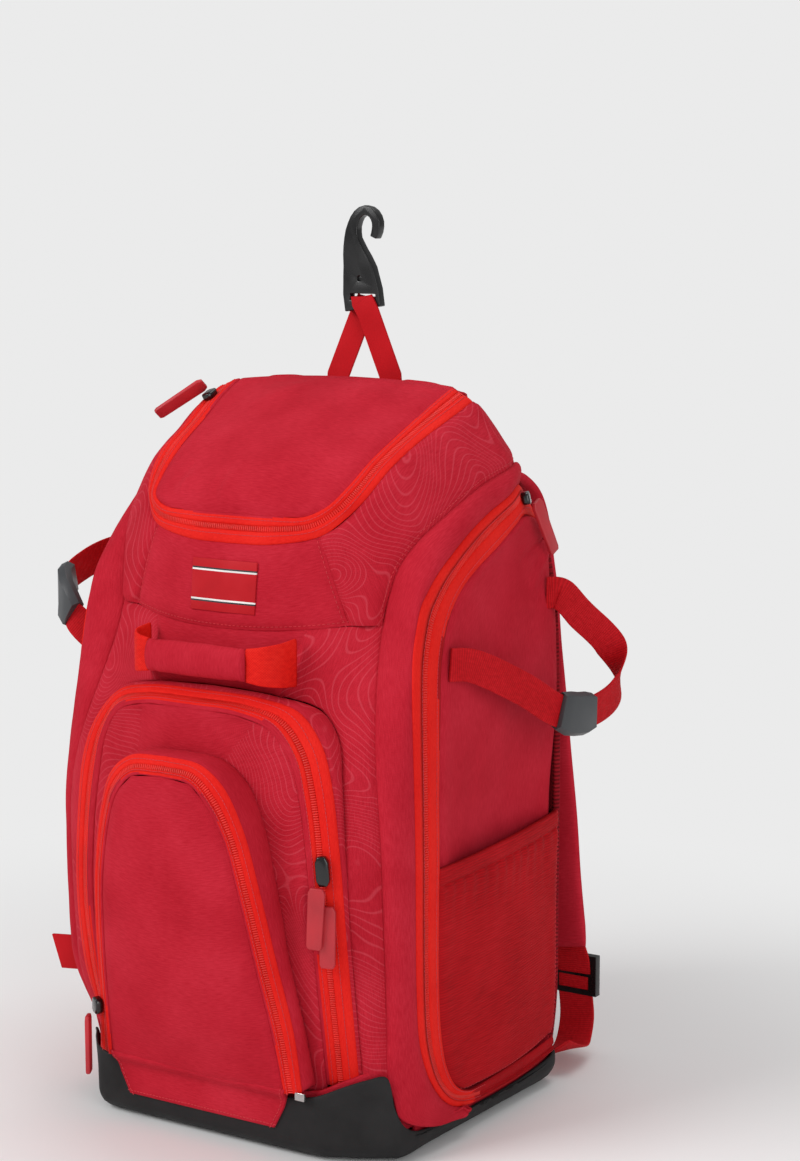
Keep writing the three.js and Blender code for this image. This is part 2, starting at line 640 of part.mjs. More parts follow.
function sleeveRing(grow, heightOf) {
  return Array.from({ length: SLEEVE.sides }, (_, k) => {
    const angle = (2 * Math.PI * k) / SLEEVE.sides;
    const x = SLEEVE.x + (SLEEVE.radiusX + grow) * Math.cos(angle);
    const y = SLEEVE.y + (SLEEVE.radiusY + grow) * Math.sin(angle);
    return vec(x, y, heightOf(x, y));
  });
}
const sleeveTop = (x, y) => heightAt(roof, x, y) + SLEEVE.proud;
const sleeveCutter = skin([
  sleeveRing(SEAT_GAP, () => SLEEVE.bottom),
  sleeveRing(SEAT_GAP, () => BODY.height + SLEEVE.radiusX),
]);
const leftCutter = sleeveCutter.clone().applyMatrix4(new THREE.Matrix4().makeRotationZ(Math.PI));
leftCutter.applyMatrix4(new THREE.Matrix4().makeTranslation(0, 2 * SLEEVE.y, 0));
add("roof_panel", cut(wall(roof), sleeveCutter, leftCutter), CLOTH_RED);
const sleeve = skin([
  sleeveRing(0, () => SLEEVE.bottom),
  sleeveRing(0, sleeveTop),
  sleeveRing(-SLEEVE.wall, sleeveTop),
  sleeveRing(-SLEEVE.wall, () => SLEEVE.bottom + SLEEVE.wall),
]);
addPair("bat_sleeve", sleeve, BASE_BLACK);

// Yoke, centre panel and the patterned panels at their sides
const yokeSide = line(YOKE, "side");
const yokeRails = crowned(topOuter.slice(0, corner + 1), yokeSide, line(YOKE, "middle"), 2.4, 2);
add("yoke", wall(yokeRails), CLOTH_RED);

function centreRim() {
  const yokeFoot = yokeRails[yokeRails.length - 1];
  const half = yokeFoot.slice((yokeFoot.length - 1) / 2);
  const edge = place(CENTRE[0].side);
  const middle = place(CENTRE[0].middle);
  return half.map((_, k) => {
    const share = k / (half.length - 1);
    const y = THREE.MathUtils.lerp(middle.y, edge.y, share ** 2);
    const z = THREE.MathUtils.lerp(middle.z, edge.z, share ** 2);
    return vec(edge.x * share, y, z);
  });
}
const centreSide = line(CENTRE, "side");
const centreRails = crowned(centreRim(), centreSide, line(CENTRE, "middle"), 2, 2);
add("centre_panel", wall(centreRails), CLOTH_RED);

const roofEdge = roof.map((rail) => rail[rail.length - 1]).reverse();
const shoulderInner = joined(roofEdge, topOuter.slice(corner).reverse(), yokeSide);
const shoulderSeam = sideSeam.slice(0, YOKE_ROW * STEPS + 1);
addPair("shoulder_panel", wall(between(shoulderInner, shoulderSeam, INTO_BODY, 4, 3)), TOPO_RED);

function frontSideRails() {
  const inner = joined(centreSide, largeFoot.slice(STEPS));
  const seam = sideSeam.slice(YOKE_ROW * STEPS, BASE_ROW * STEPS + 1);
  const end = inner[inner.length - 1];
  const foot = seam[seam.length - 1].clone();
  foot.z = end.z;
  const outer = [...seam, foot];
  const middle = outer.map((point) => atHeight(inner, point.z).lerp(point, 0.5));
  return [inner, middle, outer];
}
addPair("front_side_panel", wall(frontSideRails()), TOPO_RED);

// Large pocket: side wall, zipper band and face
const largeSides = [bothSides(largeFoot), bothSides(largeOuter)];
add("large_pocket_side", wall(largeSides, INTO_LARGE), TOPO_RED);
add("large_pocket_zipper", wall([bothSides(largeOuter), bothSides(largeInner)], INTO_LARGE, TAPE), TAPE_RED);
const largeLine = smooth(LARGE_LINE.map(({ y, z }) => place([0, y, z])));
const largeRails = crowned(largeInner.slice(0, STEPS + 1), largeInner.slice(STEPS), largeLine, 2.4, 2);
add("large_pocket_face", wall(largeRails, INTO_LARGE), CLOTH_RED);

// Small pocket, standing on the face of the large one
const smallFoot = smallOuter.map((point) => {
  return vec(point.x, depthAt(largeRails, point.x, point.z) - CLOTH, point.z);
});
add("small_pocket_side", wall([bothSides(smallFoot), bothSides(smallOuter)], INTO_SMALL), CLOTH_RED);
add("small_pocket_zipper", wall([bothSides(smallOuter), bothSides(smallInner)], INTO_SMALL, TAPE), TAPE_RED);
const smallLine = smooth(SMALL_LINE.map(({ y, z }) => place([0, y, z])));
const smallRails = crowned(smallInner.slice(0, STEPS + 1), smallInner.slice(STEPS), smallLine, 2.4, 2);
add("small_pocket_face", wall(smallRails, INTO_SMALL), CLOTH_RED);

// Gussets and side zippers
const gussetOuter = sideOuter.slice(0, sideSeam.length);
addPair("gusset", wall(between(sideSeam, gussetOuter, INTO_BODY, 5, 2)), CLOTH_RED);
addPair("side_zipper", wall([sideOuter, sideInner], INTO_BODY, TAPE), TAPE_RED);

// Side panel and the piece behind the stretch pocket, set back to leave room in it
const backSeamAt = (height) => vec(atHeight(backEdge, height).x, BACK_SEAM_Y * BODY.depth, height);
const doorFront = sideInner.slice(0, CORNER_ROW * STEPS + 1);
function sidePanelRails() {
  const front = doorFront.slice(DOOR_STEP);
  const top = doorFront[0].z;
  const back = front.map((point, k) => backSeamAt(Math.min(point.z, top - (k + 1) * RECESS.drop)));
  return between(front, back, INTO_BODY, 1.5).map((rail, k, rails) => {
    const share = k / (rails.length - 1);
    const hollow = THREE.MathUtils.lerp(RECESS.rim, 1, Math.sin(Math.PI * share));
    return rail.map((point) => {
      const depth = THREE.MathUtils.smoothstep(RECESS.from - point.z, 0, RECESS.fade);
      const inset = RECESS.inset * depth * (1 - 2 * share);
      return vec(point.x - RECESS.deep * depth * hollow, point.y + inset, point.z);
    });
  });
}
const sideRails = sidePanelRails();
const panelFoot = POCKET_TOP_ROW * STEPS - DOOR_STEP;
addPair("side_panel", wall(sideRails.map((rail) => rail.slice(0, panelFoot + 1))), CLOTH_RED);
addPair("pocket_back", wall(sideRails.map((rail) => rail.slice(panelFoot))), CLOTH_RED);

// Stretch pocket and its hem
function pocketRails(frontTop, backTop, frontFoot, backFoot) {
  const front = below(doorFront, frontTop).filter((point) => point.z > frontFoot);
  front.push(atHeight(doorFront, frontFoot));
  const back = front.map((point) => {
    const share = (point.z - frontFoot) / (frontTop - frontFoot);
    return backSeamAt(THREE.MathUtils.lerp(backFoot, backTop, share));
  });
  return between(front, back, INTO_BODY, POCKET.puff, 5);
}
const pocketFoot = doorFront[doorFront.length - 1].z + POCKET.lift;
const hemFront = POCKET.front - POCKET.hem;
const hemBack = POCKET.back - POCKET.hem;
const backFoot = sideInner[sideInner.length - 1].z + POCKET.lift;
addPair("stretch_pocket", wall(pocketRails(hemFront, hemBack, pocketFoot, backFoot)), STRETCH_RED);
addPair("pocket_hem", wall(pocketRails(POCKET.front, POCKET.back, hemFront, hemBack)), STRETCH_RED);

// Padded back panel
function backRails() {
  const middle = line(BACK, "middle");
  const shares = [0, 0.3, 0.6, 0.85, 0.96, 1];
  return backEdge.map((edge, k) => {
    const half = shares.map((share) => {
      const y = THREE.MathUtils.lerp(middle[k].y, edge.y, share ** 6);
      const z = THREE.MathUtils.lerp(middle[k].z, edge.z, share ** 4);
      return vec(edge.x * share, y, z);
    });
    return bothSides(half);
  });
}
add("back_panel", wall(backRails(), INTO_BODY, BACK_PAD), MESH_RED);

// Moulded base: a tray with a rounded foot and raised front corners
function baseRing(inset, heightOf) {
  const half = BASE_RIM.map((row) => {
    const point = place([row.x, row.y, 0]);
    const way = INTO_BODY(vec(point.x, point.y, BODY.height / 2));
    point.addScaledVector(way, inset);
    point.z = heightOf(row.top * BODY.height);
    return point;
  });
  half[0].x = 0;
  half[half.length - 1].x = 0;
  const left = half.slice(1, -1).reverse().map(flip);
  return [...half, ...left];
}
const base = skin([
  baseRing(BASE.roundBottom, () => 0),
  baseRing(BASE.roundBottom * 0.35, () => BASE.roundHeight * 0.35),
  baseRing(0, () => BASE.roundHeight),
  baseRing(0, (top) => top),
  baseRing(BASE.wall, (top) => top),
  baseRing(BASE.wall, () => BASE.roundHeight),
  baseRing(BASE.roundBottom + BASE.wall, () => BASE.floor),
]);
add("base", base, BASE_BLACK);

// Flap on the front of the base
function tabGeometry() {
  const y = BASE_RIM[0].y * BODY.depth - SEAT_GAP;
  const shape = new THREE.Shape();
  shape.moveTo(-TAB.top, TAB.high);
  shape.lineTo(TAB.top, TAB.high);
  shape.lineTo(TAB.bottom, TAB.low);
  shape.lineTo(-TAB.bottom, TAB.low);
  shape.closePath();
  const geometry = new THREE.ExtrudeGeometry(shape, { depth: TAB.thick, bevelEnabled: false });
  geometry.rotateX(Math.PI / 2);
  geometry.translate(0, y, 0);
  return geometry;
}
add("front_tab", tabGeometry(), WEB_RED);

// Label on the yoke
function labelGeometry() {
  const inset = (x, z) => vec(x, depthAt(yokeRails, x, z) - SEAT_GAP - LABEL.thick, z);
  const columns = [-0.5, -0.25, 0, 0.25, 0.5].map((share) => share * LABEL.width);
  const rows = [0.5, 0, -0.5].map((share) => LABEL.z + share * LABEL.tall);
  const rails = rows.map((z) => columns.map((x) => inset(x, z)));
  return wall(rails, () => vec(0, 1, 0), LABEL.thick);
}
add("label", labelGeometry(), LABEL_RED);

// Grab handle: a wrapped grip between two folded webbing ends
const gripShape = new THREE.Shape();
gripShape.absellipse(0, 0, GRIP.deep / 2, GRIP.tall / 2, 0, 2 * Math.PI, false, 0);
const gripGeometry = new THREE.ExtrudeGeometry(gripShape, {
  depth: 2 * GRIP.half,
  curveSegments: GRIP.sides,
  bevelEnabled: false,
});
gripGeometry.rotateX(Math.PI / 2);
gripGeometry.rotateZ(Math.PI / 2);
gripGeometry.translate(-GRIP.half, GRIP.y, GRIP.z);
add("handle_grip", gripGeometry, WEB_RED);

function gripEndGeometry() {
  const foot = vec(centreSide[STEPS].x + 4, 0, GRIP.z);
  foot.y = depthAt(centreRails, centreSide[STEPS].x - 1, GRIP.z) - SEAT_GAP - GRIP_END.thick;
  const path = smooth([
    vec(GRIP.half + SEAT_GAP, GRIP.y, GRIP.z),
    vec(GRIP.half + 12, GRIP.y + 2, GRIP.z),
    vec(GRIP.half + 21, GRIP.y + 12, GRIP.z),
    foot,
  ]);
  const grow = (k) => THREE.MathUtils.lerp(GRIP_END.width, GRIP_END.flare, k / (path.length - 1));
  return band(path, () => vec(0, 0, 1), grow, GRIP_END.thick);
}
addPair("handle_end", gripEndGeometry(), TAPE_RED);

// Shoulder strap, its lock and the lower webbing
const strapPath = smooth(STRAP_WAY.map(({ x, y, z }) => place([x, y, z])));
const strapWidth = (k) => {
  const share = Math.max(0, k / (strapPath.length - 1) - 0.4) / 0.6;
  return THREE.MathUtils.lerp(STRAP.width, STRAP.tip, share);
};
addPair("shoulder_strap", band(strapPath, () => vec(1, 0, 0), strapWidth, STRAP.thick, 4), CLOTH_RED);

const lowerPath = smooth(LOWER_WAY.map(({ x, y, z }) => place([x, y, z])));
const lowerSide = (k) => {
  const turn = LOWER_WAY[Math.round(k / STEPS)].turn;
  const angle = THREE.MathUtils.degToRad(turn);
  return vec(Math.cos(angle), 0, Math.sin(angle));
};
const lowerBand = (grow) => {
  return band(lowerPath, lowerSide, () => LOWER.width + 2 * grow, WEBBING.thick + 2 * grow);
};
addPair("lower_webbing", lowerBand(0), WEB_RED);

function lockGeometry() {
  const shape = new THREE.Shape();
  const [w, h] = [LOCK.width / 2, LOCK.tall / 2];
  shape.moveTo(-w, -h);
  shape.lineTo(w, -h);
  shape.lineTo(w, h);
  shape.lineTo(-w, h);
  shape.closePath();
  for (const side of [-1, 1]) {
    const hole = new THREE.Path();
    const middle = (side * (LOCK.tall - LOCK.rim)) / 4;
    const [a, b] = [middle - LOCK.window / 2, middle + LOCK.window / 2];
    hole.moveTo(LOCK.rim - w, a);
    hole.lineTo(w - LOCK.rim, a);
    hole.lineTo(w - LOCK.rim, b);
    hole.lineTo(LOCK.rim - w, b);
    hole.closePath();
    shape.holes.push(hole);
  }
  const plate = new THREE.ExtrudeGeometry(shape, { depth: LOCK.thick, bevelEnabled: false });
  plate.translate(0, 0, -LOCK.thick / 2);
  plate.rotateX(Math.PI / 2);
  const spot = lowerPath[LOCK_ROW * STEPS];
  plate.translate(spot.x, spot.y + WEBBING.thick, spot.z);
  const strapEnd = band(strapPath.slice(-3), () => vec(1, 0, 0), () => STRAP.tip + 2, STRAP.thick + 2, 4);
  return cut(plate, lowerBand(SEAT_GAP), strapEnd);
}
addPair("ladder_lock", lockGeometry(), PLASTIC_BLACK);

// Glove straps with their side-release buckles
function addGloveStrap(side, table, at) {
  const mirror = side === "left" ? flip : (point) => point;
  const path = smooth(table.map(({ x, y, z }) => mirror(place([x, y, z]))));
  const up = () => vec(0, 0, 1);
  const strap = (grow) => band(path, up, () => GLOVE.width + 2 * grow, WEBBING.thick + 2 * grow);
  add(`glove_strap_${side}`, strap(0), WEB_RED);
  const curve = new THREE.CatmullRomCurve3(path, false, "centripetal");
  const reach = GLOVE.buckleLong / 2 / curve.getLength();
  const shares = [-1, -0.5, 0, 0.5, 1].map((step) => at + step * reach);
  const widths = [0.86, 1, 1, 1, 0.86].map((share) => share * GLOVE.buckleWide);
  const spots = shares.map((share) => curve.getPointAt(share));
  const body = band(spots, up, (k) => widths[k], GLOVE.buckleThick, 3);
  add(`glove_buckle_${side}`, cut(body, strap(SEAT_GAP)), BUCKLE_GREY);
}
addGloveStrap("right", GLOVE_WAY, BUCKLE_AT.right);
addGloveStrap("left", GLOVE_WAY_LEFT, BUCKLE_AT.left);

// Fence hook: a plate with a slot that tapers into a hooked neck
function hookGeometry() {
  const middle = HOOK_LINE.map(({ x, z }) => vec(x, 0, z));
  const count = (HOOK_LINE.length - 1) * STEPS;
  const curve = new THREE.CatmullRomCurve3(middle, false, "centripetal");
  const sides = [[], []];
  for (let k = 0; k <= count; k += 1) {
    const point = curve.getPoint(k / count);
    const along = curve.getTangent(k / count);
    const row = Math.min(Math.floor(k / STEPS), HOOK_LINE.length - 2);
    const share = k / STEPS - row;
    const half = THREE.MathUtils.lerp(HOOK_LINE[row].wide, HOOK_LINE[row + 1].wide, share) / 2;
    sides[0].push([point.x - along.z * half, point.z + along.x * half]);
    sides[1].push([point.x + along.z * half, point.z - along.x * half]);
  }
  const outline = [...sides[0], ...sides[1].reverse()];
  const shape = new THREE.Shape(outline.map(([x, z]) => new THREE.Vector2(x, z)));
  const slot = new THREE.Path();
  const [left, right] = [1 - HOOK.slotWide / 2, 1 + HOOK.slotWide / 2];
  slot.moveTo(left, HOOK.bar);
  slot.lineTo(right, HOOK.bar);
  slot.lineTo(right, HOOK.bar + HOOK.slotTall);
  slot.lineTo(left, HOOK.bar + HOOK.slotTall);
  slot.closePath();
  const hole = new THREE.Path();
  hole.absarc(-2, HOOK.bar + HOOK.slotTall + HOOK.holeOver, HOOK.hole / 2, 0, 2 * Math.PI, false);
  shape.holes.push(slot, hole);
  const plate = { depth: HOOK.thick, curveSegments: 8, bevelEnabled: false };
  const geometry = new THREE.ExtrudeGeometry(shape, plate);
  geometry.rotateX(Math.PI / 2);
  geometry.translate(0, HOOK.y + HOOK.thick / 2, HOOK_FOOT);
  return geometry;
}
add("hook", hookGeometry(), PLASTIC_BLACK);

function hookWebGeometry() {
  const clear = HOOK.thick / 2 + WEBBING.thick / 2 + SEAT_GAP;
  const top = HOOK_FOOT + HOOK.bar + HOOK_WEB.slack + WEBBING.thick / 2;
  const low = HOOK_FOOT - 3;
  const rootY = [HOOK.y + 2, HOOK.y - 2];
  const roots = [-HOOK_WEB.foot, HOOK_WEB.foot].map((x, k) => {
    const reach = HOOK_WEB.width / 2;
    const seat = Math.max(heightAt(roof, x - reach, rootY[k]), heightAt(roof, x + reach, rootY[k]));
    return vec(x, rootY[k], seat + SEAT_GAP);
  });
  const raised = roots.map((root) => root.clone().add(vec(0, 0, HOOK_WEB.rise)));
  const path = [
    roots[0],
    raised[0],
    vec(-6, HOOK.y + clear, low),
    vec(0, HOOK.y + clear, top - WEBBING.thick),
    vec(1, HOOK.y + 0.8 * clear, top),
    vec(1, HOOK.y - 0.8 * clear, top),
    vec(2, HOOK.y - clear, top - WEBBING.thick),
    vec(8, HOOK.y - clear, low),
    raised[1],
    roots[1],
  ];
  const lean = [0, -0.28, -0.28, 0, 0, 0, 0, 0.28, 0.28, 0];
  return band(path, (k) => vec(1, 0, lean[k]), () => HOOK_WEB.width, WEBBING.thick);
}
add("hook_webbing", hookWebGeometry(), WEB_RED);

// Woven loop in the seam of the left side zipper
function loopGeometry() {
  const root = atHeight(sideOuter, LOOP.z);
  const path = [0, 0.5, 1].map((share) => {
    return vec(-root.x - LOOP.gap - share * LOOP.out, root.y - 2 * share, LOOP.z - 2 * share);
  });
  return band(path, () => vec(0, 0, 1), () => LOOP.tall, LOOP.thick);
}
add("loop_tag", loopGeometry(), WEB_RED);

// Zipper sliders lie on the coil between the two edges of a band, and pulls hang from them
function placeBetween(a, b, share, way, side) {
  const middle = a.clone().lerp(b, share);
  const along = way.clone().normalize();
  const across = b.clone().sub(a).normalize();
  const out = along.clone().cross(across).normalize();
  if (out.dot(INTO_BODY(middle)) > 0) {
    out.negate();
  }
  const frame = { middle, along, out };
  return side < 0 ? { middle: flip(middle), along: flip(along), out: flip(out) } : frame;
}

function placeAtHeight(outer, inner, height, side, share = 0.5) {
  const way = atHeight(outer, height + SLIDER.high).sub(atHeight(outer, height - SLIDER.high));
  return placeBetween(atHeight(outer, height), atHeight(inner, height), share, way, side);
}

function blockAlong({ middle, along, out }, long, wide, from, to, shift = 0) {
  const centre = middle.clone().addScaledVector(along, shift).addScaledVector(out, (from + to) / 2);
  const path = [-0.5, -0.3, 0.3, 0.5].map((step) => centre.clone().addScaledVector(along, step * long));
  const across = along.clone().cross(out);
  const widths = [0.6, 1, 1, 0.6];
  return band(path, () => across.clone(), (k) => widths[k] * wide, to - from);
}

function pullFrom(start, way, across) {
  const path = [0, 0.08, 0.5, 0.94, 1].map((share) => start.clone().addScaledVector(way, share * PULL.long));
  const widths = [0.7, 1, 0.96, 0.9, 0.7];
  return band(path, () => across.clone(), (k) => widths[k] * PULL.wide, PULL.thick);
}

function pullOn(spot, { lift, offset, way, across }) {
  const start = spot.middle.clone().addScaledVector(spot.out, SLIDER.high + lift);
  return pullFrom(start.add(vec(...offset)), vec(...way).normalize(), vec(...across));
}

function sliderOn(spot, long, gap) {
  return blockAlong(spot, long, SLIDER.wide, gap, SLIDER.high);
}

const topRise = topOuter.slice(corner).reverse();
const topRiseInner = topInner.slice(corner).reverse();
const topSpot = placeAtHeight(topRise, topRiseInner, SLIDER_AT.top * BODY.height, -1);
add("top_slider", sliderOn(topSpot, SLIDER.long, SLIDER.cornerGap), SLIDER_BLACK);
add("top_pull", pullOn(topSpot, PULL_HANG.top), PULL_RED);

const largeFall = largeOuter.slice(STEPS);
const largeFallInner = largeInner.slice(STEPS);
const largeSpot = placeAtHeight(largeFall, largeFallInner, SLIDER_AT.large * BODY.height, 1);
add("pocket_sliders", sliderOn(largeSpot, SLIDER.pairLong, SLIDER.gap), SLIDER_BLACK);
add("pocket_pull_front", pullOn(largeSpot, PULL_HANG.front), PULL_RED);
add("pocket_pull_rear", pullOn(largeSpot, PULL_HANG.rear), PULL_RED);

const smallFall = smallOuter.slice(STEPS);
const smallFallInner = smallInner.slice(STEPS);
const smallSpot = placeAtHeight(smallFall, smallFallInner, SLIDER_AT.small * BODY.height, -1, 0.3);
add("small_slider", sliderOn(smallSpot, SLIDER.long, SLIDER.gap), SLIDER_BLACK);
add("small_pull", pullOn(smallSpot, PULL_HANG.small), PULL_RED);

const doorWay = sideOuter[DOOR_STEP - 1].clone().sub(sideOuter[DOOR_STEP + 1]);
const doorSpot = placeBetween(sideOuter[DOOR_STEP], sideInner[DOOR_STEP], 0.5, doorWay, 1);
addPair("side_slider", sliderOn(doorSpot, SLIDER.long, SLIDER.gap), SLIDER_BLACK);
addPair("side_pull", pullOn(doorSpot, PULL_HANG.side), PULL_RED);

export default bag;
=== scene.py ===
import math
import bpy
import bmesh
import numpy as np
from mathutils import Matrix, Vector


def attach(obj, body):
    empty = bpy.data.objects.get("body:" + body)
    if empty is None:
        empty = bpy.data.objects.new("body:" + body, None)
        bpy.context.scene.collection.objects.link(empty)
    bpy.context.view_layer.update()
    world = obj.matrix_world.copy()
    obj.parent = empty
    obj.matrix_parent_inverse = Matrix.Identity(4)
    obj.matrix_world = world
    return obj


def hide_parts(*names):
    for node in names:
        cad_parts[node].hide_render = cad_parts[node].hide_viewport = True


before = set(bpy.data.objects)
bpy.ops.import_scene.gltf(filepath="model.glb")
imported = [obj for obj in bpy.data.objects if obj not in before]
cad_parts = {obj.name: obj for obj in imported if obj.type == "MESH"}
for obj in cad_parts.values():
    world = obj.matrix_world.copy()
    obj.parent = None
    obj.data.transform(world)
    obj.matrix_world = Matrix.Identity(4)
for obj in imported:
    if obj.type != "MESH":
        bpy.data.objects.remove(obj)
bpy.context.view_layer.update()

# Sizes, millimetres
SIZE = np.array([160.0, 250.0, 560.0])
STEPS = 2
STEP_GROWTH = 1.35
SIDES = ((1, "right"), (-1, "left"))


def place(rows):
    """Points in millimetres from shares of the half width, the depth and the height."""
    return np.asarray(rows, float) * SIZE


# Edges and middle lines of the cloth, from the middle of the bag to the right or from the top down
TOP_OUTER = place([
    (0, -.348, .8), (.238, -.34, .802), (.478, -.3, .816), (.575, -.252, .84), (.631, -.212, .863),
    (.678, -.12, .902), (.706, .022, .936), (.75, .144, .963), (.7625, .248, .981)
])
TOP_INNER = place([
    (0, -.32, .839), (.206, -.32, .839), (.406, -.314, .841), (.497, -.288, .854), (.538, -.22, .877),
    (.5625, -.112, .911), (.5875, .032, .946), (.6125, .152, .976), (.628, .256, .998)
])
TOP_CORNER = 2  # the row where the top zipper turns up
LID_LINE = place([
    (0, -.32, .839), (0, -.304, .859), (0, -.24, .891), (0, -.124, .929), (0, .032, .968), (0, .16, .993),
    (0, .28, 1.006)
])
YOKE_SIDE = place([(.478, -.3, .816), (.55, -.3, .759), (.619, -.284, .7)])
YOKE_LINE = place([(0, -.348, .8), (0, -.364, .743), (0, -.376, .686)])
CENTRE_SIDE = place([(.4375, -.336, .693), (.4, -.368, .648), (.3625, -.396, .606)])
CENTRE_LINE = place([(0, -.376, .686), (0, -.392, .648), (0, -.408, .6125)])
LARGE_OUTER = place([
    (0, -.46, .611), (.3125, -.458, .609), (.525, -.448, .595), (.656, -.456, .557), (.725, -.47, .509),
    (.775, -.472, .407), (.8, -.46, .286), (.794, -.392, .098)
])
LARGE_INNER = place([
    (0, -.544, .593), (.2625, -.54, .591), (.4375, -.524, .575), (.5375, -.512, .536), (.581, -.508, .489),
    (.625, -.508, .404), (.65, -.496, .286), (.644, -.424, .098)
])
LARGE_FOOT = place([
    (0, -.408, .6125), (.3625, -.396, .606), (.5625, -.368, .593), (.681, -.384, .557), (.744, -.428, .511),
    (.791, -.454, .407), (.8125, -.448, .286), (.806, -.38, .098)
])
LARGE_LINE = place([
    (0, -.544, .593), (0, -.546, .575), (0, -.544, .536), (0, -.54, .489), (0, -.532, .404),
    (0, -.516, .286), (0, -.44, .098)
])
SMALL_OUTER = place([
    (0, -.652, .536), (.2, -.652, .531), (.325, -.648, .505), (.4125, -.632, .452), (.484, -.61, .366),
    (.531, -.576, .277), (.575, -.528, .175), (.6, -.512, .096)
])
SMALL_INNER = place([
    (0, -.68, .511), (.169, -.68, .506), (.2625, -.676, .479), (.331, -.66, .439), (.397, -.642, .3625),
    (.444, -.608, .273), (.4875, -.56, .173), (.5125, -.524, .091)
])
SMALL_LINE = place([
    (0, -.68, .511), (0, -.686, .479), (0, -.688, .439), (0, -.676, .3625), (0, -.644, .273),
    (0, -.592, .173), (0, -.524, .086)
])
SEAM = place([
    (.7, .512, .884), (.8625, .392, .895), (.9375, .28, .891), (.931, .152, .877), (.925, .04, .859),
    (.894, -.056, .836), (.856, -.124, .814), (.831, -.164, .796), (.806, -.196, .775), (.781, -.224, .739),
    (.7625, -.24, .702), (.7875, -.296, .629), (.844, -.36, .55), (.894, -.392, .473), (.9125, -.396, .409),
    (.916, -.388, .321), (.916, -.376, .234), (.916, -.37, .161), (.919, -.37, .121), (.956, -.368, .0875),
    (.9875, -.36, .059), (1.0125, -.24, .0375), (1.0125, -.056, .0325)
])
SIDE_OUTER = place([
    (.775, .512, .854), (.894, .38, .864), (.956, .264, .854), (.959, .144, .836), (.9625, .032, .814),
    (.9625, -.056, .791), (.9625, -.136, .768), (.9625, -.188, .748), (.9625, -.228, .729),
    (.966, -.256, .7), (.969, -.276, .668), (.981, -.292, .614), (.994, -.3, .545), (1.006, -.304, .468),
    (1.0125, -.306, .405), (1.0125, -.304, .321), (1.0125, -.3, .234), (1.0125, -.284, .157),
    (1.0125, -.244, .111), (1.0125, -.208, .086), (1.0125, -.16, .0625), (1.0125, -.096, .0446),
    (1.0125, -.016, .036), (1.0125, .144, .034), (1.0125, .336, .0375), (1.006, .504, .0465)
])
SIDE_INNER = place([
    (.881, .512, .8125), (.931, .384, .823), (.9625, .304, .814), (.969, .2, .791), (.969, .088, .768),
    (.969, 0, .746), (.972, -.056, .725), (.975, -.092, .704), (.978, -.116, .682), (.981, -.136, .654),
    (.9875, -.148, .625), (.994, -.156, .586), (1, -.164, .536), (1.006, -.172, .468),
    (1.0125, -.176, .405), (1.0125, -.18, .321), (1.0125, -.18, .234), (1.0125, -.164, .15),
    (1.0125, -.132, .102), (1.0125, -.08, .071), (1.0125, -.008, .057), (1.0125, .08, .057),
    (1.0125, .176, .059), (1.011, .264, .0607), (1.008, .384, .0634), (1.003, .504, .068)
])
YOKE_ROW, BASE_ROW, CORNER_ROW = 10, 18, 20  # rows at the yoke's foot, the base's rim and the door's corner
BACK_SIDE = place([
    (.55, .518, .945), (.7, .52, .886), (.88, .526, .8125), (.97, .528, .714), (1, .528, .555),
    (1.003, .528, .268), (1, .528, .12), (.975, .528, .053)
])
BACK_LINE = place([
    (0, .546, .957), (0, .552, .9), (0, .556, .82), (0, .558, .716), (0, .558, .555), (0, .556, .268),
    (0, .552, .12), (0, .548, .053)
])
BACK_SEAM_Y = 131.0
ROOF_MIDDLE, ROOF_SIDE = place([(0, .541, .958), (.55, .512, .95)])
ROOF_RISE = 3.36
BASE_RIM = place([
    (0, -.496, .078), (.36, -.496, .08), (.55, -.494, .084), (.65, -.488, .09), (.7625, -.456, .104),
    (.8625, -.424, .115), (.9375, -.39, .1185), (.969, -.376, .077), (.997, -.36, .054),
    (1.0125, -.32, .041), (1.0125, -.2, .033), (1.0125, -.02, .0295), (1.0125, .15, .0305),
    (1.0125, .336, .034), (1.006, .504, .0425), (.98, .54, .045), (.9, .556, .047), (.5, .564, .048),
    (0, .564, .048)
])
STRAP_WAY = place([
    (.5125, .5625, .868), (.5125, .64, .857), (.5125, .72, .832), (.5125, .768, .795), (.5125, .804, .732),
    (.5125, .84, .67), (.531, .848, .607), (.5625, .852, .536), (.606, .848, .446), (.6625, .832, .357),
    (.725, .8, .268), (.785, .79, .16)
])
LOWER_WAY = place([
    (.79, .823, .17), (.818, .838, .134), (.828, .842, .096), (.85, .832, .05), (.875, .775, .02),
    (.92, .67, .024), (.945, .572, .036)
])
LOWER_TURN = np.array([0, 0, 0, 3, 6, 20, 40.0])
GLOVE_RIGHT = place([
    (1.006, -.12, .648), (1.06, -.06, .645), (1.1875, .1, .607), (1.269, .24, .568), (1.281, .44, .557),
    (1.269, .6, .58), (1.2, .632, .629), (1.1, .544, .679), (1.04, .482, .71), (.984, .458, .711)
])
GLOVE_LEFT = place([
    (1.028, -.126, .62), (1.07, -.14, .63), (1.2, -.16, .665), (1.32, -.1, .7), (1.375, .03, .72),
    (1.36, .18, .735), (1.28, .34, .735), (1.14, .45, .722), (1.044, .475, .711), (.994, .461, .711)
])
SLEEVE = {"x": 66, "y": 100, "rx": 26.5, "ry": 28, "bottom": 60, "floor": 2, "proud": 1.2, "gap": .4}
GRIP = {"half": 45, "y": -124, "z": 365, "tall": 24, "deep": 13, "hem": 38}
HANDLE_WEB = {"narrow": 25, "wide": 36, "thick": 3.0}
STRAP = {"top": 64, "foot": 50, "thick": 11.5, "taper_from": .4}
LOWER_WEB = {"wide": 32, "thick": 2.0}
GLOVE_WEB = {"wide": 25, "thick": 2.0}
DOOR_END_ROW = 22.3
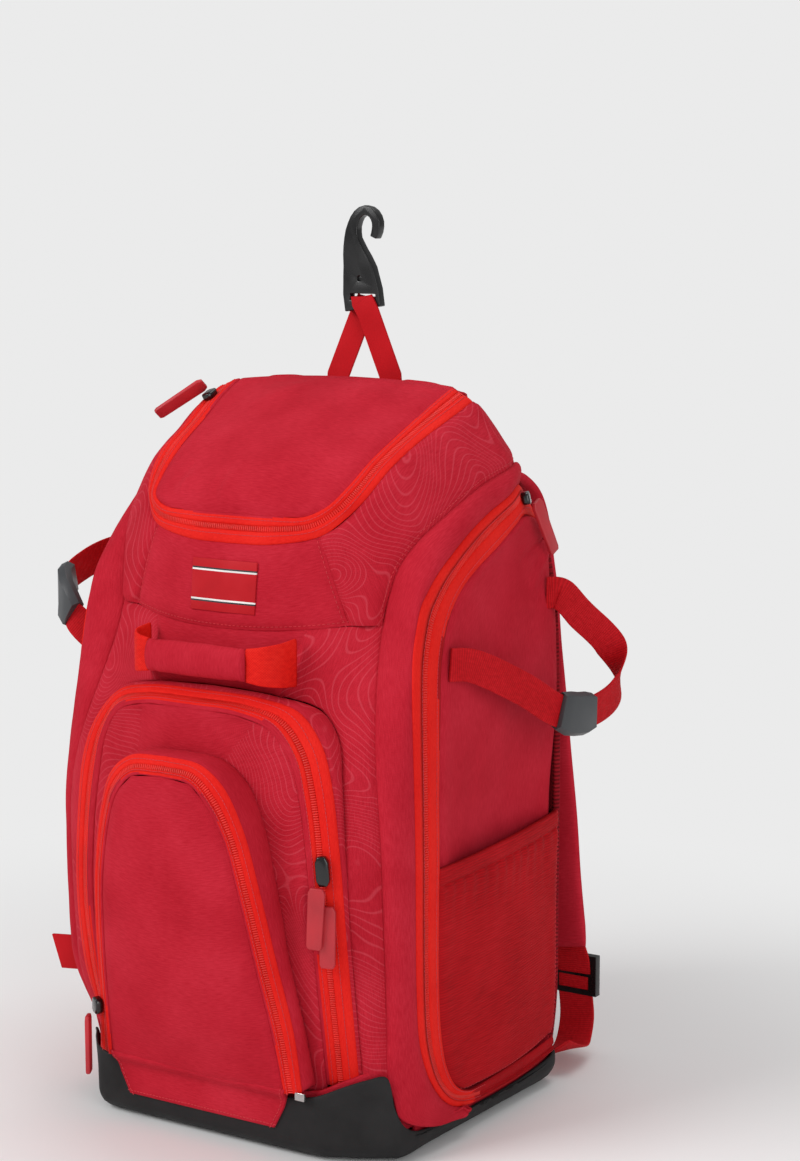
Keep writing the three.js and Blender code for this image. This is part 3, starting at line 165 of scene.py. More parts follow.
RECESS = {"deep": 13, "rim": .32, "inset": 6, "from": 330, "fade": 104}
POCKET = {"front": 212, "back": 222, "hem": 12, "lift": 2.5, "puff": 5, "gather": 13, "gather_high": .9}
CHANNEL = {"x": 46, "z": (150, 250, 350, 440), "wide": 4, "low": 60, "high": 470, "fade": 20, "reach": 120,
           "deep": 4.6, "puff": 2.2}

# How cloth lies: waves over a panel, calm near its edges, the dip and the swelling beside a seam
WAVE = {"long": 70, "short": 28, "short_share": .3, "calm": 12}
SEAM_FORM = {"dip_wide": 2.4, "swell_at": 9, "swell_wide": 6, "groove_wide": 1.1, "line_wide": 1.2}
FLANGE = {"out": .5, "edge": .6, "deep": 4.5}
SETTLE = {"x": -92, "x_over": 70, "z": 118, "z_over": 100, "y": 30, "y_over": 110, "shift": (22.0, 14.0, 0)}
EDGE_STITCH = {"in": 3.0, "pitch": 3.6}

# Rows of a zipper band's section where its coil lies and where its tapes are sewn
ZIP_COIL_ROW, ZIP_SEWN_ROWS = 8, (3, 13)
TOOTH_PITCH = 1.8

# Base from its floor over the rim to the inside: inset, level and share of the rim's height
BASE_PROFILE = [
    (18, 0, 0), (13, .6, 0), (8.5, 2.6, 0), (4.5, 5.8, 0), (1.7, 10, 0), (.3, 14, 0), (0, 16.5, 0),
    (0, 8.25, .5), (0, -3, 1), (.15, -1.2, 1), (.8, -.3, 1), (1.5, 0, 1), (2.3, -.3, 1), (2.9, -1.2, 1),
    (3, -3, 1), (3, 16.5, 0), (21, 4, 0),
]

# Bat sleeve from its foot inside, over the rim, to its foot outside: growth and drop below the roof
SLEEVE_PROFILE = [
    (-2, None), (-2, 6), (-1.9, 1), (-1.2, .25), (-.2, .2), (.8, .6), (1.4, 1.4), (1.3, 2.4), (.2, 3), (0, 6),
    (0, None),
]

# Flap on the base: height, depth and half width
TAB_ROWS = [
    (54, -132.6, 82), (51.5, -132.4, 81.2), (49, -131.2, 80.5), (46.5, -128.8, 79.7), (44, -127, 79),
    (41, -126.4, 78), (37, -126.2, 76.6), (33, -126.2, 74.5), (29, -126.2, 72.3), (25, -126.2, 70.2),
    (23, -126.2, 69.1), (21, -126.2, 68),
]

# Folds on the lid and on the right side panel: start and end on the panel, width, height
LID_FOLDS = [
    ((60, 6), (67, 40), 3.5, -1.5), ((67, 8), (78, 44), 4.5, 1.2), ((24, 12), (38, 40), 4.5, 1.3),
    ((18, 20), (30, 52), 4, -1.2), ((80, 165), (150, 118), 13, -1.4), ((140, 60), (182, 120), 11, 1.3),
    ((40, 120), (95, 175), 12, 1.3),
]
SIDE_FOLDS = [
    ((4, 92), (48, 66), 6, -2.4), ((6, 108), (66, 112), 7, 2.2), ((8, 124), (58, 150), 8, -2.0),
    ((60, 150), (150, 120), 14, 1.6), ((12, 215), (80, 190), 12, 1.6), ((60, 250), (140, 215), 14, -1.8),
]
SIDE_WIDTH = 176

# Cores that cloth is thickened towards: half width, front, back, low, high, in shares of the body
BODY_CORE = (.625, -.16, .4, .125, .768)
LARGE_CORE = (.56, -.4, -.24, .04, .5)
SMALL_CORE = (.34, -.44, -.4, .05, .45)


# Lines and surfaces
def at(points, t):
    """Centripetal curve through points, at row numbers t."""
    points = np.asarray(points, float)
    t = np.clip(np.asarray(t, float), 0, len(points) - 1)
    k = np.minimum(t.astype(int), len(points) - 2)
    padded = np.vstack([2 * points[0] - points[1], points, 2 * points[-1] - points[-2]])
    p0, p1, p2, p3 = (padded[k + j] for j in range(4))
    pairs = ((p0, p1), (p1, p2), (p2, p3))
    d = [np.maximum(((b - a) ** 2).sum(-1) ** .25, 1e-6)[..., None] for a, b in pairs]
    t1 = ((p1 - p0) / d[0] - (p2 - p0) / (d[0] + d[1]) + (p2 - p1) / d[1]) * d[1]
    t2 = ((p2 - p1) / d[1] - (p3 - p1) / (d[1] + d[2]) + (p3 - p2) / d[2]) * d[1]
    w = (t - k)[..., None]
    return p1 + t1 * w + (-3 * p1 + 3 * p2 - 2 * t1 - t2) * w ** 2 + (2 * p1 - 2 * p2 + t1 + t2) * w ** 3


def smooth(points, steps=STEPS):
    """The curve with a few rows between each two."""
    return at(points, np.linspace(0, len(points) - 1, (len(points) - 1) * steps + 1))


def length_of(points):
    """Length of a line."""
    return np.linalg.norm(np.diff(points, axis=0), axis=1).sum()


def even(points, shares, values=None):
    """Places on a line at shares of its length, or the values that go with them."""
    far = np.concatenate([[0], np.cumsum(np.linalg.norm(np.diff(points, axis=0), axis=1))])
    values = points if values is None else values
    return np.stack([np.interp(np.asarray(shares) * far[-1], far, values[:, k]) for k in range(3)], -1)


def steps(length, near=1.1, far=3.6):
    """Shares from 0 to 1 of a length in millimetres, close together beside both ends."""
    places, step = [0.0], near
    while places[-1] + step < length / 2:
        places.append(places[-1] + step)
        step = min(step * STEP_GROWTH, far)
    half = np.array(places) / length
    return np.concatenate([half, [0.5], 1 - half[::-1]])


def flip(points):
    """Mirrors points from right to left."""
    return points * np.array([-1.0, 1, 1])


def both(half):
    """The whole line from its right half."""
    return np.concatenate([flip(half[:0:-1]), half])


def inward(core):
    """Gives the function for the unit way from a point towards a core."""
    x, front, back, low, high = core
    lo = np.array([-x, front, low]) * SIZE
    hi = np.array([x, back, high]) * SIZE

    def way(points):
        d = np.clip(points, lo, hi) - points
        return d / np.maximum(np.linalg.norm(d, axis=-1, keepdims=True), 1e-6)
    return way


INTO_BODY, INTO_LARGE, INTO_SMALL = inward(BODY_CORE), inward(LARGE_CORE), inward(SMALL_CORE)


def between(first, last, shares, puff, into=INTO_BODY):
    """Rows between two lines, pushed outwards in the middle."""
    s = shares[:, None, None]
    mid = first[None] * (1 - s) + last[None] * s
    return mid - into(mid) * (4 * puff * s * (1 - s))


def crowned(rim, side, middle, power_y, power_z, across, rows):
    """A panel that is the same on both sides, from its rim, its side edge and its middle line.

    The powers say how flat the middle stays before the panel turns to its edge.
    """
    share = np.abs(across)
    row = rows * (len(side) - 1)
    edge = at(side, row)
    centre = at(middle, rows * (len(middle) - 1))
    x = edge[:, None, 0] * across
    y = centre[:, None, 1] + (edge[:, None, 1] - centre[:, None, 1]) * share ** power_y
    z = centre[:, None, 2] + (edge[:, None, 2] - centre[:, None, 2]) * share ** power_z
    grid = np.stack([x, y, z], -1)
    dense = smooth(rim, 12)
    rim_share = dense[:, 0] / dense[-1, 0]
    first = np.stack([np.interp(share, rim_share, dense[:, k]) for k in range(3)], -1)
    first[:, 0] *= np.sign(across)
    fade = np.clip(1 - row / .9, 0, 1)[:, None, None] ** 2
    return grid + (first - grid[0])[None] * fade


def normals(grid, into):
    """Outward normals of a grid of points."""
    across = np.gradient(grid, axis=1)
    along = np.gradient(grid, axis=0)
    out = np.cross(across, along)
    out /= np.maximum(np.linalg.norm(out, axis=-1, keepdims=True), 1e-9)
    return -out if (out * into(grid)).sum() > 0 else out


def reach(grid, axis):
    """Distance along rows or columns from the first one, and the whole distance."""
    gap = np.linalg.norm(np.diff(grid, axis=axis), axis=-1)
    start = np.zeros_like(np.take(gap, [0], axis=axis))
    total = np.concatenate([start, np.cumsum(gap, axis=axis)], axis=axis)
    return total, np.take(total, [-1], axis=axis)


def ripple(points, seed, size, height):
    """Gentle unevenness of cloth."""
    rng = np.random.RandomState(seed)
    total = np.zeros(points.shape[:-1])
    for _ in range(7):
        way = rng.normal(size=3)
        way *= 2 * np.pi / (np.linalg.norm(way) * size * rng.uniform(.7, 1.5))
        total += np.sin(points @ way + rng.uniform(0, 6.28))
    return total * height / 3


def crease(u, v, start, end, width, height):
    """A soft fold along a segment of a panel, in millimetres of the panel."""
    a, b = np.array(start, float), np.array(end, float)
    way = b - a
    long = np.linalg.norm(way)
    way /= long
    s = ((u - a[0]) * way[0] + (v - a[1]) * way[1]) / long
    d = (u - a[0]) * way[1] - (v - a[1]) * way[0]
    fade = np.clip(s * (1 - s) * 4, 0, 1) ** .7
    return height * fade * np.exp(-(d / width) ** 2)


def ease(value):
    """A soft step from 0 to 1."""
    value = np.clip(value, 0, 1)
    return value * value * (3 - 2 * value)


def settled(points):
    """The lower left front corner slumps inwards and back, as the soft bag stands."""
    x, y, z = points[..., 0], points[..., 1], points[..., 2]
    pull = (ease((SETTLE["x"] - x) / SETTLE["x_over"]) * ease((SETTLE["z"] - z) / SETTLE["z_over"])
            * ease((SETTLE["y"] - y) / SETTLE["y_over"]))
    return points + pull[..., None] * np.array(SETTLE["shift"])


def on_surface(grid, x, other, given):
    """A surface's missing coordinate at x and y (given 1) or x and z (given 2), from four near points."""
    flat = grid.reshape(-1, 3)
    d = (flat[None, :, 0] - np.atleast_1d(x)[:, None]) ** 2
    d += (flat[None, :, given] - np.atleast_1d(other)[:, None]) ** 2
    near = np.argsort(d, axis=1)[:, :4]
    w = 1 / (np.take_along_axis(d, near, 1) + .05)
    return (flat[near, 3 - given] * w).sum(1) / w.sum(1)


def at_height(line, z):
    """Points of a line at given heights."""
    order = np.argsort(line[:, 2])
    return np.stack([np.interp(z, line[order, 2], line[order, k]) for k in range(3)], -1)


def beside(x, z, line):
    """On which side of a line, seen from the front, a place lies, times the line's length."""
    (x0, z0), (x1, z1) = line
    return (x - x0) * (z1 - z0) - (z - z0) * (x1 - x0)


def seam_groove(x, z, line, depth):
    """A sewn line across a panel seen from the front."""
    (x0, z0), (x1, z1) = line
    long = math.hypot(x1 - x0, z1 - z0)
    return -depth * np.exp(-(beside(x, z, line) / long / SEAM_FORM["line_wide"]) ** 2)


def bump_at(value, centre, width):
    """A round bump of height 1."""
    return np.exp(-((value - centre) / width) ** 2)


# Pieces
def skin(grid, uv, name):
    """A mesh of rows and columns of points, with its UV map in metres."""
    rows, cols = grid.shape[:2]
    bpy.ops.mesh.primitive_grid_add(x_subdivisions=cols - 1, y_subdivisions=rows - 1, size=1)
    piece = bpy.context.object
    mesh = piece.data
    mesh.vertices.foreach_set("co", (settled(grid).reshape(-1, 3) / 1000).ravel())
    corners = np.empty(len(mesh.loops), int)
    mesh.loops.foreach_get("vertex_index", corners)
    mesh.uv_layers[0].data.foreach_set("uv", (uv.reshape(-1, 2)[corners] / 1000).ravel())
    mesh.update()
    piece.name = mesh.name = name
    return piece


def tidy(piece, out=None, weld=False, fill=False):
    """Welds a seam, closes ends and turns faces outwards."""
    edit = bmesh.new()
    edit.from_mesh(piece.data)
    if weld:
        bmesh.ops.remove_doubles(edit, verts=edit.verts, dist=2e-6)
    if fill:
        bmesh.ops.holes_fill(edit, edges=[e for e in edit.edges if e.is_boundary], sides=0)
    if out is None:
        bmesh.ops.recalc_face_normals(edit, faces=edit.faces)
    else:
        edit.normal_update()
        total = sum(f.normal.dot(Vector(out[f.verts[0].index])) for f in list(edit.faces)[::7])
        if total < 0:
            bmesh.ops.reverse_faces(edit, faces=edit.faces)
    edit.to_mesh(piece.data)
    edit.free()


def use(piece, kind, **settings):
    """Adds a modifier and applies it."""
    modifier = piece.modifiers.new("shape", kind)
    for key, value in settings.items():
        setattr(modifier, key, value)
    bpy.ops.object.select_all(action="DESELECT")
    piece.select_set(True)
    bpy.context.view_layer.objects.active = piece
    bpy.ops.object.modifier_apply(modifier=modifier.name)


def done(piece, material, nodes=(), flat_angle=None):
    """Gives a finished piece its material, smooth shading and body, and hides the parts that it stands for.
    """
    materials = material if isinstance(material, (list, tuple)) else [material]
    piece.data.materials.clear()
    for one in materials:
        piece.data.materials.append(one)
    bpy.ops.object.select_all(action="DESELECT")
    piece.select_set(True)
    bpy.context.view_layer.objects.active = piece
    if flat_angle:
        bpy.ops.object.shade_smooth_by_angle(angle=math.radians(flat_angle))
    else:
        bpy.ops.object.shade_smooth()
    if nodes:
        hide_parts(*nodes)
    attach(piece, "root")
    return piece


def flanged(grid, out, uv):
    """Adds turned-in edges all round."""
    for axis in (0, 1):
        g, n, t = (np.moveaxis(a, axis, 0) for a in (grid, out, uv))
        first, last = [], []
        for edge, inner, store in ((g[0], g[1], first), (g[-1], g[-2], last)):
            away = edge - inner
            away /= np.maximum(np.linalg.norm(away, axis=-1, keepdims=True), 1e-6)
            normal = n[0] if store is first else n[-1]
            store += [edge + away * FLANGE["out"] - normal * FLANGE[level] for level in ("edge", "deep")]
        g = np.concatenate([[first[1], first[0]], g, [last[0], last[1]]])
        n = np.concatenate([[n[0], n[0]], n, [n[-1], n[-1]]])
        t = np.concatenate([[t[0], t[0]], t, [t[-1], t[-1]]])
        grid, out, uv = (np.moveaxis(a, 0, axis) for a in (g, n, t))
    return grid, out, uv


def cloth(name, grid, material, slot, nodes, into=INTO_BODY, seam=1.3, pillow=.6, folds=(), rough=.35, seed=1,
          relief=None, thick=1.4, grooves=(), keep="", second=None):
    """One sewn panel. Returns its outer surface, for stitches: points, normals, distances from its edges."""
    out = normals(grid, into)
    down, down_all = reach(grid, 0)
    side, side_all = reach(grid, 1)
    edges = {"t": down, "b": down_all - down, "l": side, "r": side_all - side}
    lift = ripple(grid, seed, WAVE["long"], rough)
    lift += ripple(grid, seed + 50, WAVE["short"], rough * WAVE["short_share"])
    inner = np.minimum(*[np.minimum(edges[a], edges[b]) for a, b in (("t", "b"), ("l", "r"))])
    lift *= np.clip(inner / WAVE["calm"], 0, 1)
    dip = np.zeros_like(lift)
    for key, far in edges.items():
        if key in keep:
            continue
        dip += seam * bump_at(far, 0, SEAM_FORM["dip_wide"])
        swelling = bump_at(far, SEAM_FORM["swell_at"], SEAM_FORM["swell_wide"])
        lift += pillow * swelling * np.clip(inner / 3, 0, 1)
        for distance, depth in grooves:
            lift -= depth * bump_at(far, distance, SEAM_FORM["groove_wide"])
    for fold in folds:
        lift += crease(side, down, *fold)
    if relief is not None:
        lift = lift + relief
    shaped = grid + out * lift[..., None] + into(grid) * np.minimum(dip, seam)[..., None]
    out = normals(shaped, into)
    uv = np.stack([side, -down], -1)
    full, full_out, full_uv = flanged(shaped, out, uv)
    piece = skin(full, full_uv, name)
    tidy(piece, out=full_out.reshape(-1, 3))
    use(piece, "SOLIDIFY", thickness=thick / 1000, offset=-1)
    done(piece, material, nodes)
    if second:
        paint(piece, second)
    return {"points": shaped, "out": out, **edges}


def paint(piece, test):
    """Gives the second material to the faces whose UV place and centre, in millimetres, pass a test."""
    mesh = piece.data
    uv = np.empty(len(mesh.loops) * 2)
    mesh.uv_layers[0].data.foreach_get("uv", uv)
    start = np.empty(len(mesh.polygons), int)
    mesh.polygons.foreach_get("loop_start", start)
    centre_of = np.empty(len(mesh.polygons) * 3)
    mesh.polygons.foreach_get("center", centre_of)
    uv_of = uv.reshape(-1, 2)[start] * 1000
    chosen = test(uv_of[:, 0], -uv_of[:, 1], centre_of.reshape(-1, 3) * 1000)
    mesh.polygons.foreach_set("material_index", chosen.astype(np.int32))
    mesh.update()


def inset_line(panel, edge, distance):
    """The line on a panel at a distance from one of its edges, with the normals there."""
    far = panel[edge]
    axis = 0 if edge in "tb" else 1
    far = np.moveaxis(far, axis, 0)
    points, out = np.moveaxis(panel["points"], axis, 0), np.moveaxis(panel["out"], axis, 0)
    if edge in "br":
        far, points, out = far[::-1], points[::-1], out[::-1]
    line, way = [], []
    for k in range(points.shape[1]):
        d = min(distance, far[-1, k])
        line.append([np.interp(d, far[:, k], points[:, k, c]) for c in range(3)])
        way.append([np.interp(d, far[:, k], out[:, k, c]) for c in range(3)])
    return np.array(line), np.array(way)


STITCHES = []
TEETH = []


def sew(line, out, pitch=3.4, skip=(0.0, 1.0)):
    """Remembers one row of stitches along a line."""
    count = int(length_of(line) * (skip[1] - skip[0]) / pitch)
    if count < 2:
        return
    shares = np.linspace(skip[0], skip[1], count)
    spot = even(line, shares)
    STITCHES.append((spot, even(line, shares, out), np.gradient(spot, axis=0)))


def frames(along, up):
    """Unit ways along, across and up from two rough ones."""
    along = along / np.maximum(np.linalg.norm(along, axis=-1, keepdims=True), 1e-9)
    up = up - along * (up * along).sum(-1, keepdims=True)
    up = up / np.maximum(np.linalg.norm(up, axis=-1, keepdims=True), 1e-9)
    return along, np.cross(up, along), up


def repeated(name, shape, faces, spots, material):
    """Copies of one small shape in one piece: shape is in (along, across, up) millimetres."""
    spot, along, across, up = (np.concatenate([s[k] for s in spots]) for k in range(4))
    spot = settled(spot)
    points = (spot[:, None] + shape[None, :, 0:1] * along[:, None] + shape[None, :, 1:2] * across[:, None]
              + shape[None, :, 2:3] * up[:, None]).reshape(-1, 3) / 1000
    count, size = len(spot), len(shape)
    polygons = [[v + k * size for v in face] for k in range(count) for face in faces]
    bpy.ops.mesh.primitive_cube_add(size=1)
    piece = bpy.context.object
    mesh = bpy.data.meshes.new(name)
    mesh.from_pydata(points.tolist(), [], polygons)
    mesh.update()
    piece.data = mesh
    piece.name = name
    tidy(piece)
    return done(piece, material)


def prism(sides, rings):
    """Closed small shape from rings (place along, half width, half height) round the along axis."""
    shape, faces = [], []
    for place_at, wide, tall in rings:
        for k in range(sides):
            a = 2 * math.pi * (k + .5) / sides
            shape.append((place_at, wide * math.cos(a), tall * math.sin(a)))
    for r in range(len(rings) - 1):
        for k in range(sides):
            a, b = r * sides + k, r * sides + (k + 1) % sides
            faces.append([a, b, b + sides, a + sides])
    faces.append(list(range(sides))[::-1])
    faces.append(list(range((len(rings) - 1) * sides, len(rings) * sides)))
    return np.array(shape), faces


def zipper(name, outer, inner, material, slot, nodes, into=INTO_BODY, *, seed, cloth_from, coil=4.2,
           place_of_coil=.58, swell=1.0, ends=(0.0, 1.0), second=None):
    """A zipper band: outer tape, shallow slot with teeth, inner tape and the cloth that it is sewn to."""
    width = np.linalg.norm(outer - inner, axis=-1).mean()
    half = coil / 2 / width
    c = place_of_coil
    lines = [(0, 0), (.05, .5), (.14, .95), (.27, 1.15), (c - half - .08, 1.1), (c - half - .025, .8),
             (c - half - .008, .45), (c - half, -.25), (c, -.3), (c + half, -.25), (c + half + .008, .45),
             (c + half + .03, .9), (c + half + .08, 1.1), (.8, 1.0), (.9, .75), (.96, .4), (1, 0)]
    shares = np.array([s for s, _ in lines])
    height = np.array([h for _, h in lines]) * swell
    grid = outer[None] * (1 - shares[:, None, None]) + inner[None] * shares[:, None, None]

    def sewn(_, v, centre_of):
        cloth_edge = v > cloth_from * width
        return cloth_edge | second(centre_of) if second else cloth_edge

    panel = cloth(name, grid, material, slot, nodes, into, seam=.7, pillow=0, rough=.12, seed=seed,
                  relief=np.repeat(height[:, None], grid.shape[1], 1), thick=1.0, second=sewn)
    middle = grid[ZIP_COIL_ROW]
    count = int(length_of(middle) * (ends[1] - ends[0]) / TOOTH_PITCH)
    share = ends[0] + (ends[1] - ends[0]) * (np.arange(count) + .5) / count
    spot, up = even(middle, share), even(middle, share, panel["out"][ZIP_COIL_ROW])
    along, across, up = frames(np.gradient(spot, axis=0), up)
    TEETH.append((spot, along, across, up))
    for k in ZIP_SEWN_ROWS:
        sew(panel["points"][k], panel["out"][k], 2.8, ends)
    return panel


def round_flat(wide, thick, points, square):
    """Section of a strap: a flat shape with rounded edges, closed."""
    a = np.linspace(0, 2 * np.pi, points + 1)[:-1] + np.pi / points
    c, s = np.cos(a), np.sin(a)
    x = np.sign(c) * np.abs(c) ** (2 / square)
    y = np.sign(s) * np.abs(s) ** (2 / 3)
    return np.stack([x * wide / 2, y * thick / 2], -1)


def sweep(name, path, side, section, material, nodes):
    """A closed strap: sections (rows, points, 2) across the way of a path; side is the way across."""
    along = np.gradient(path, axis=0)
    along /= np.linalg.norm(along, axis=-1, keepdims=True)
    across = side - along * (side * along).sum(-1, keepdims=True)
    across /= np.linalg.norm(across, axis=-1, keepdims=True)
    up = np.cross(along, across)
    if section.ndim == 2:
        section = np.repeat(section[None], len(path), 0)
    ring = np.concatenate([section, section[:, :1]], 1)
    grid = path[:, None] + across[:, None] * ring[..., :1] + up[:, None] * ring[..., 1:]
    v = np.concatenate([[0], np.cumsum(np.linalg.norm(np.diff(path, axis=0), axis=-1))])
    uv = np.stack(np.broadcast_arrays(ring[..., 0], v[:, None]), -1)
    piece = skin(grid, uv, name)
    tidy(piece, weld=True, fill=True)
    return done(piece, material, nodes)


def mirrored(name, grid, sign, *rest, **settings):
    """The right panel as given, or its mirror for the left."""
    return cloth(name, grid if sign > 0 else flip(grid)[:, ::-1], *rest, **settings)


# Degrees between two faces from which an edge is rounded, and from which it is shaded sharp
EDGE_ANGLES = {"bevel": 32, "sharp": 30}


def bevelled(name, node, width, material):
    """A merged copy of a solid with rounded edges."""
    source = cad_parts[node]
    piece = bpy.data.objects.new(name, source.data.copy())
    bpy.context.collection.objects.link(piece)
    edit = bmesh.new()
    edit.from_mesh(piece.data)
    bmesh.ops.remove_doubles(edit, verts=edit.verts, dist=1e-5)
    bmesh.ops.dissolve_limit(edit, angle_limit=math.radians(3), verts=edit.verts, edges=edit.edges)
    for vertex in edit.verts:
        vertex.co = Vector(settled(np.array(vertex.co) * 1000) / 1000)
    edit.to_mesh(piece.data)
    edit.free()
    use(piece, "BEVEL", width=width / 1000, segments=3, limit_method="ANGLE",
        angle_limit=math.radians(EDGE_ANGLES["bevel"]))
    return done(piece, material, [node], EDGE_ANGLES["sharp"])


def lamp(name, place_xyz, target, size, watts):
    """A soft square studio light."""
    data = bpy.data.lights.new(name, "AREA")
    data.shape, data.size, data.energy = "SQUARE", size, watts
    lamp_object = bpy.data.objects.new(name, data)
    bpy.context.collection.objects.link(lamp_object)
    lamp_object.location = place_xyz
    lamp_object.rotation_euler = (Vector(target) - Vector(place_xyz)).to_track_quat("-Z", "Y").to_euler()


# Materials
def linear(code):
    """An sRGB hex colour as linear light."""
    parts = [int(code[k:k + 2], 16) / 255 for k in (0, 2, 4)]
    return [p / 12.92 if p <= .04045 else ((p + .055) / 1.055) ** 2.4 for p in parts] + [1.0]


def add_node(tree, kind, inputs=None, **settings):
    """Adds a shader node with its settings, values and links."""
    node = tree.nodes.new(f"ShaderNode{kind}")
    for key, value in settings.items():
        setattr(node, key, value)
    for socket, value in (inputs or {}).items():
        if isinstance(value, bpy.types.NodeSocket):
            tree.links.new(value, node.inputs[socket])
        else:
            node.inputs[socket].default_value = value
    return node


def blank(name, **constants):
    """A material with its principled shader and constant settings."""
    material = bpy.data.materials.new(name)
    material.use_nodes = True
    tree = material.node_tree
    shader = tree.nodes["Principled BSDF"]
    for key, value in constants.items():
        shader.inputs[key.replace("_", " ")].default_value = value
    return material, tree, shader


def woven(name, dark, mid, light, thread=1.1, streak=(14, 1.3), depth=.35, rough=.86, ribs=None, contour=None,
          gap=.86):
    """Cloth: threads from the UV map, streaks of lighter and darker yarn, and soft mottling.

    Pitches and streaks are in millimetres, coarser than the real yarn so that they show. The gaps between
    threads are painted shade: their colour is darkened to a share of the yarn's brightness.
    """
    material, tree, shader = blank(name, Roughness=rough, Specular_IOR_Level=.12)
    place_at = add_node(tree, "TexCoord")
    uv = place_at.outputs["UV"]
    solid = place_at.outputs["Object"]
    per_metre = (1000 / streak[0], 1000 / streak[1], 1)
    scaled = add_node(tree, "Mapping", {"Vector": uv, "Scale": per_metre})
    yarn = add_node(tree, "TexNoise", {"Vector": scaled.outputs[0], "Scale": 1.0, "Detail": 2.0})
    blotch = add_node(tree, "TexNoise", {"Vector": solid, "Scale": 22.0, "Detail": 3.0})
    mottle = add_node(tree, "Math", {0: yarn.outputs["Fac"], 1: blotch.outputs["Fac"]}, operation="ADD")
    half = add_node(tree, "Math", {0: mottle.outputs[0], 1: .5}, operation="MULTIPLY")
    ramp = add_node(tree, "ValToRGB", {"Fac": half.outputs[0]})
    first, last = ramp.color_ramp.elements
    first.position, last.position = .34, .66
    first.color, last.color = linear(dark), linear(light)
    ramp.color_ramp.elements.new(.5).color = linear(mid)
    colour = ramp.outputs[0]
    parts = add_node(tree, "SeparateXYZ", {"Vector": uv})
    waves = []
    pitch = ribs or (thread, thread)
    for axis in (0, 1):
        if pitch[axis] is None:
            continue
        per_turn = 2000 * math.pi / pitch[axis]
        turn = add_node(tree, "Math", {0: parts.outputs[axis], 1: per_turn}, operation="MULTIPLY")
        waves.append(add_node(tree, "Math", {0: turn.outputs[0]}, operation="SINE").outputs[0])
    height = waves[0]
    if len(waves) == 2:
        crossed = add_node(tree, "Math", {0: waves[0], 1: waves[1]}, operation="MULTIPLY")
        height = crossed.outputs[0]
    level = add_node(tree, "MapRange", {"Value": height, "From Min": -1.0, "From Max": 1.0})
    # Painted shade: the colour is darkened in the valleys between the threads
    shade = add_node(tree, "Mix", {"Factor": level.outputs[0], 6: colour, 7: (gap, gap, gap, 1)},
                     data_type="RGBA", blend_type="MULTIPLY")
    colour = shade.outputs[2]
    if contour:
        land = add_node(tree, "TexNoise", {"Vector": solid, "Scale": contour["size"], "Detail": 1.2,
                                           "Roughness": .45, "Distortion": contour["swirl"]})
        rise = add_node(tree, "Math", {0: land.outputs["Fac"], 1: contour["levels"]}, operation="MULTIPLY")
        part = add_node(tree, "Math", {0: rise.outputs[0], 1: 1.0}, operation="PINGPONG")
        line = add_node(tree, "MapRange", {"Value": part.outputs[0], "From Min": contour["line"],
                                           "From Max": contour["line"] * .35, "To Max": contour["show"]})
        mixed = add_node(tree, "Mix", {"Factor": line.outputs[0], 6: colour, 7: linear(contour["colour"])},
                         data_type="RGBA")
        colour = mixed.outputs[2]
    tree.links.new(colour, shader.inputs["Base Color"])
    bump = add_node(tree, "Bump", {"Height": level.outputs[0], "Strength": depth, "Distance": .0004})
    fine = add_node(tree, "TexNoise", {"Vector": solid, "Scale": 420.0, "Detail": 2.0})
    fuzz = add_node(tree, "Bump", {"Height": fine.outputs["Fac"], "Strength": .25, "Distance": .0004,
                                   "Normal": bump.outputs[0]})
    tree.links.new(fuzz.outputs[0], shader.inputs["Normal"])
    return material


GLOSS_SPREAD = .1  # how far the roughness strays to either side


def moulded(name, colour, rough, grain=900.0, depth=.1, coat=0.0, metallic=0.0):
    """Moulded plastic, rubber or enamelled metal with a fine grain and a slightly uneven gloss."""
    material, tree, shader = blank(name, Metallic=metallic, Coat_Weight=coat, Coat_Roughness=.12)
    solid = add_node(tree, "TexCoord").outputs["Object"]
    grains = add_node(tree, "TexNoise", {"Vector": solid, "Scale": grain, "Detail": 2.0})
    soft = add_node(tree, "TexNoise", {"Vector": solid, "Scale": 35.0, "Detail": 3.0})
    gloss = add_node(tree, "MapRange", {"Value": soft.outputs["Fac"], "From Min": .3, "From Max": .7,
                                        "To Min": max(rough - GLOSS_SPREAD, .05),
                                        "To Max": rough + GLOSS_SPREAD})
    tree.links.new(gloss.outputs[0], shader.inputs["Roughness"])
    tone = add_node(tree, "MapRange", {"Value": soft.outputs["Fac"], "From Min": .3, "From Max": .7})
    base = linear(colour)[:3]
    mixed = add_node(tree, "Mix", {"Factor": tone.outputs[0], 6: [c * .86 for c in base] + [1],
                                   7: [min(c * 1.12, 1) for c in base] + [1]}, data_type="RGBA")
    tree.links.new(mixed.outputs[2], shader.inputs["Base Color"])
    bump = add_node(tree, "Bump", {"Height": grains.outputs["Fac"], "Strength": depth, "Distance": .0003})
    tree.links.new(bump.outputs[0], shader.inputs["Normal"])
    return material


CRIMSON = ("B61729", "C22032", "CD2A3C")
# Polyester canvas, woven of melange yarn: fine lighter and darker crimson streaks on a matt face
CANVAS = woven("polyester_canvas", *CRIMSON, streak=(7, .9))
# The same canvas, printed tone on tone: fine lighter contour lines that only show near by
CONTOUR = woven("contour_print_canvas", *CRIMSON, streak=(7, .9),
                contour={"size": 8.0, "swirl": .35, "levels": 150.0, "line": .26, "show": .22,
                         "colour": "E2606E"})
# Woven polyester zipper tape: a brighter orange red with a tight, smoother face
TAPE = woven("zipper_tape", "DE1712", "E81F18", "F0281F", thread=.9, streak=(3, 1.2), depth=.15, rough=.7)
# Polypropylene webbing, woven: clear ribs across its length with shaded grooves
WEBBING = woven("ribbed_webbing", "B80E18", "C8141E", "D41C26", streak=(2.2, 5), ribs=(None, 1.7), depth=.6,
                rough=.72, gap=.74)
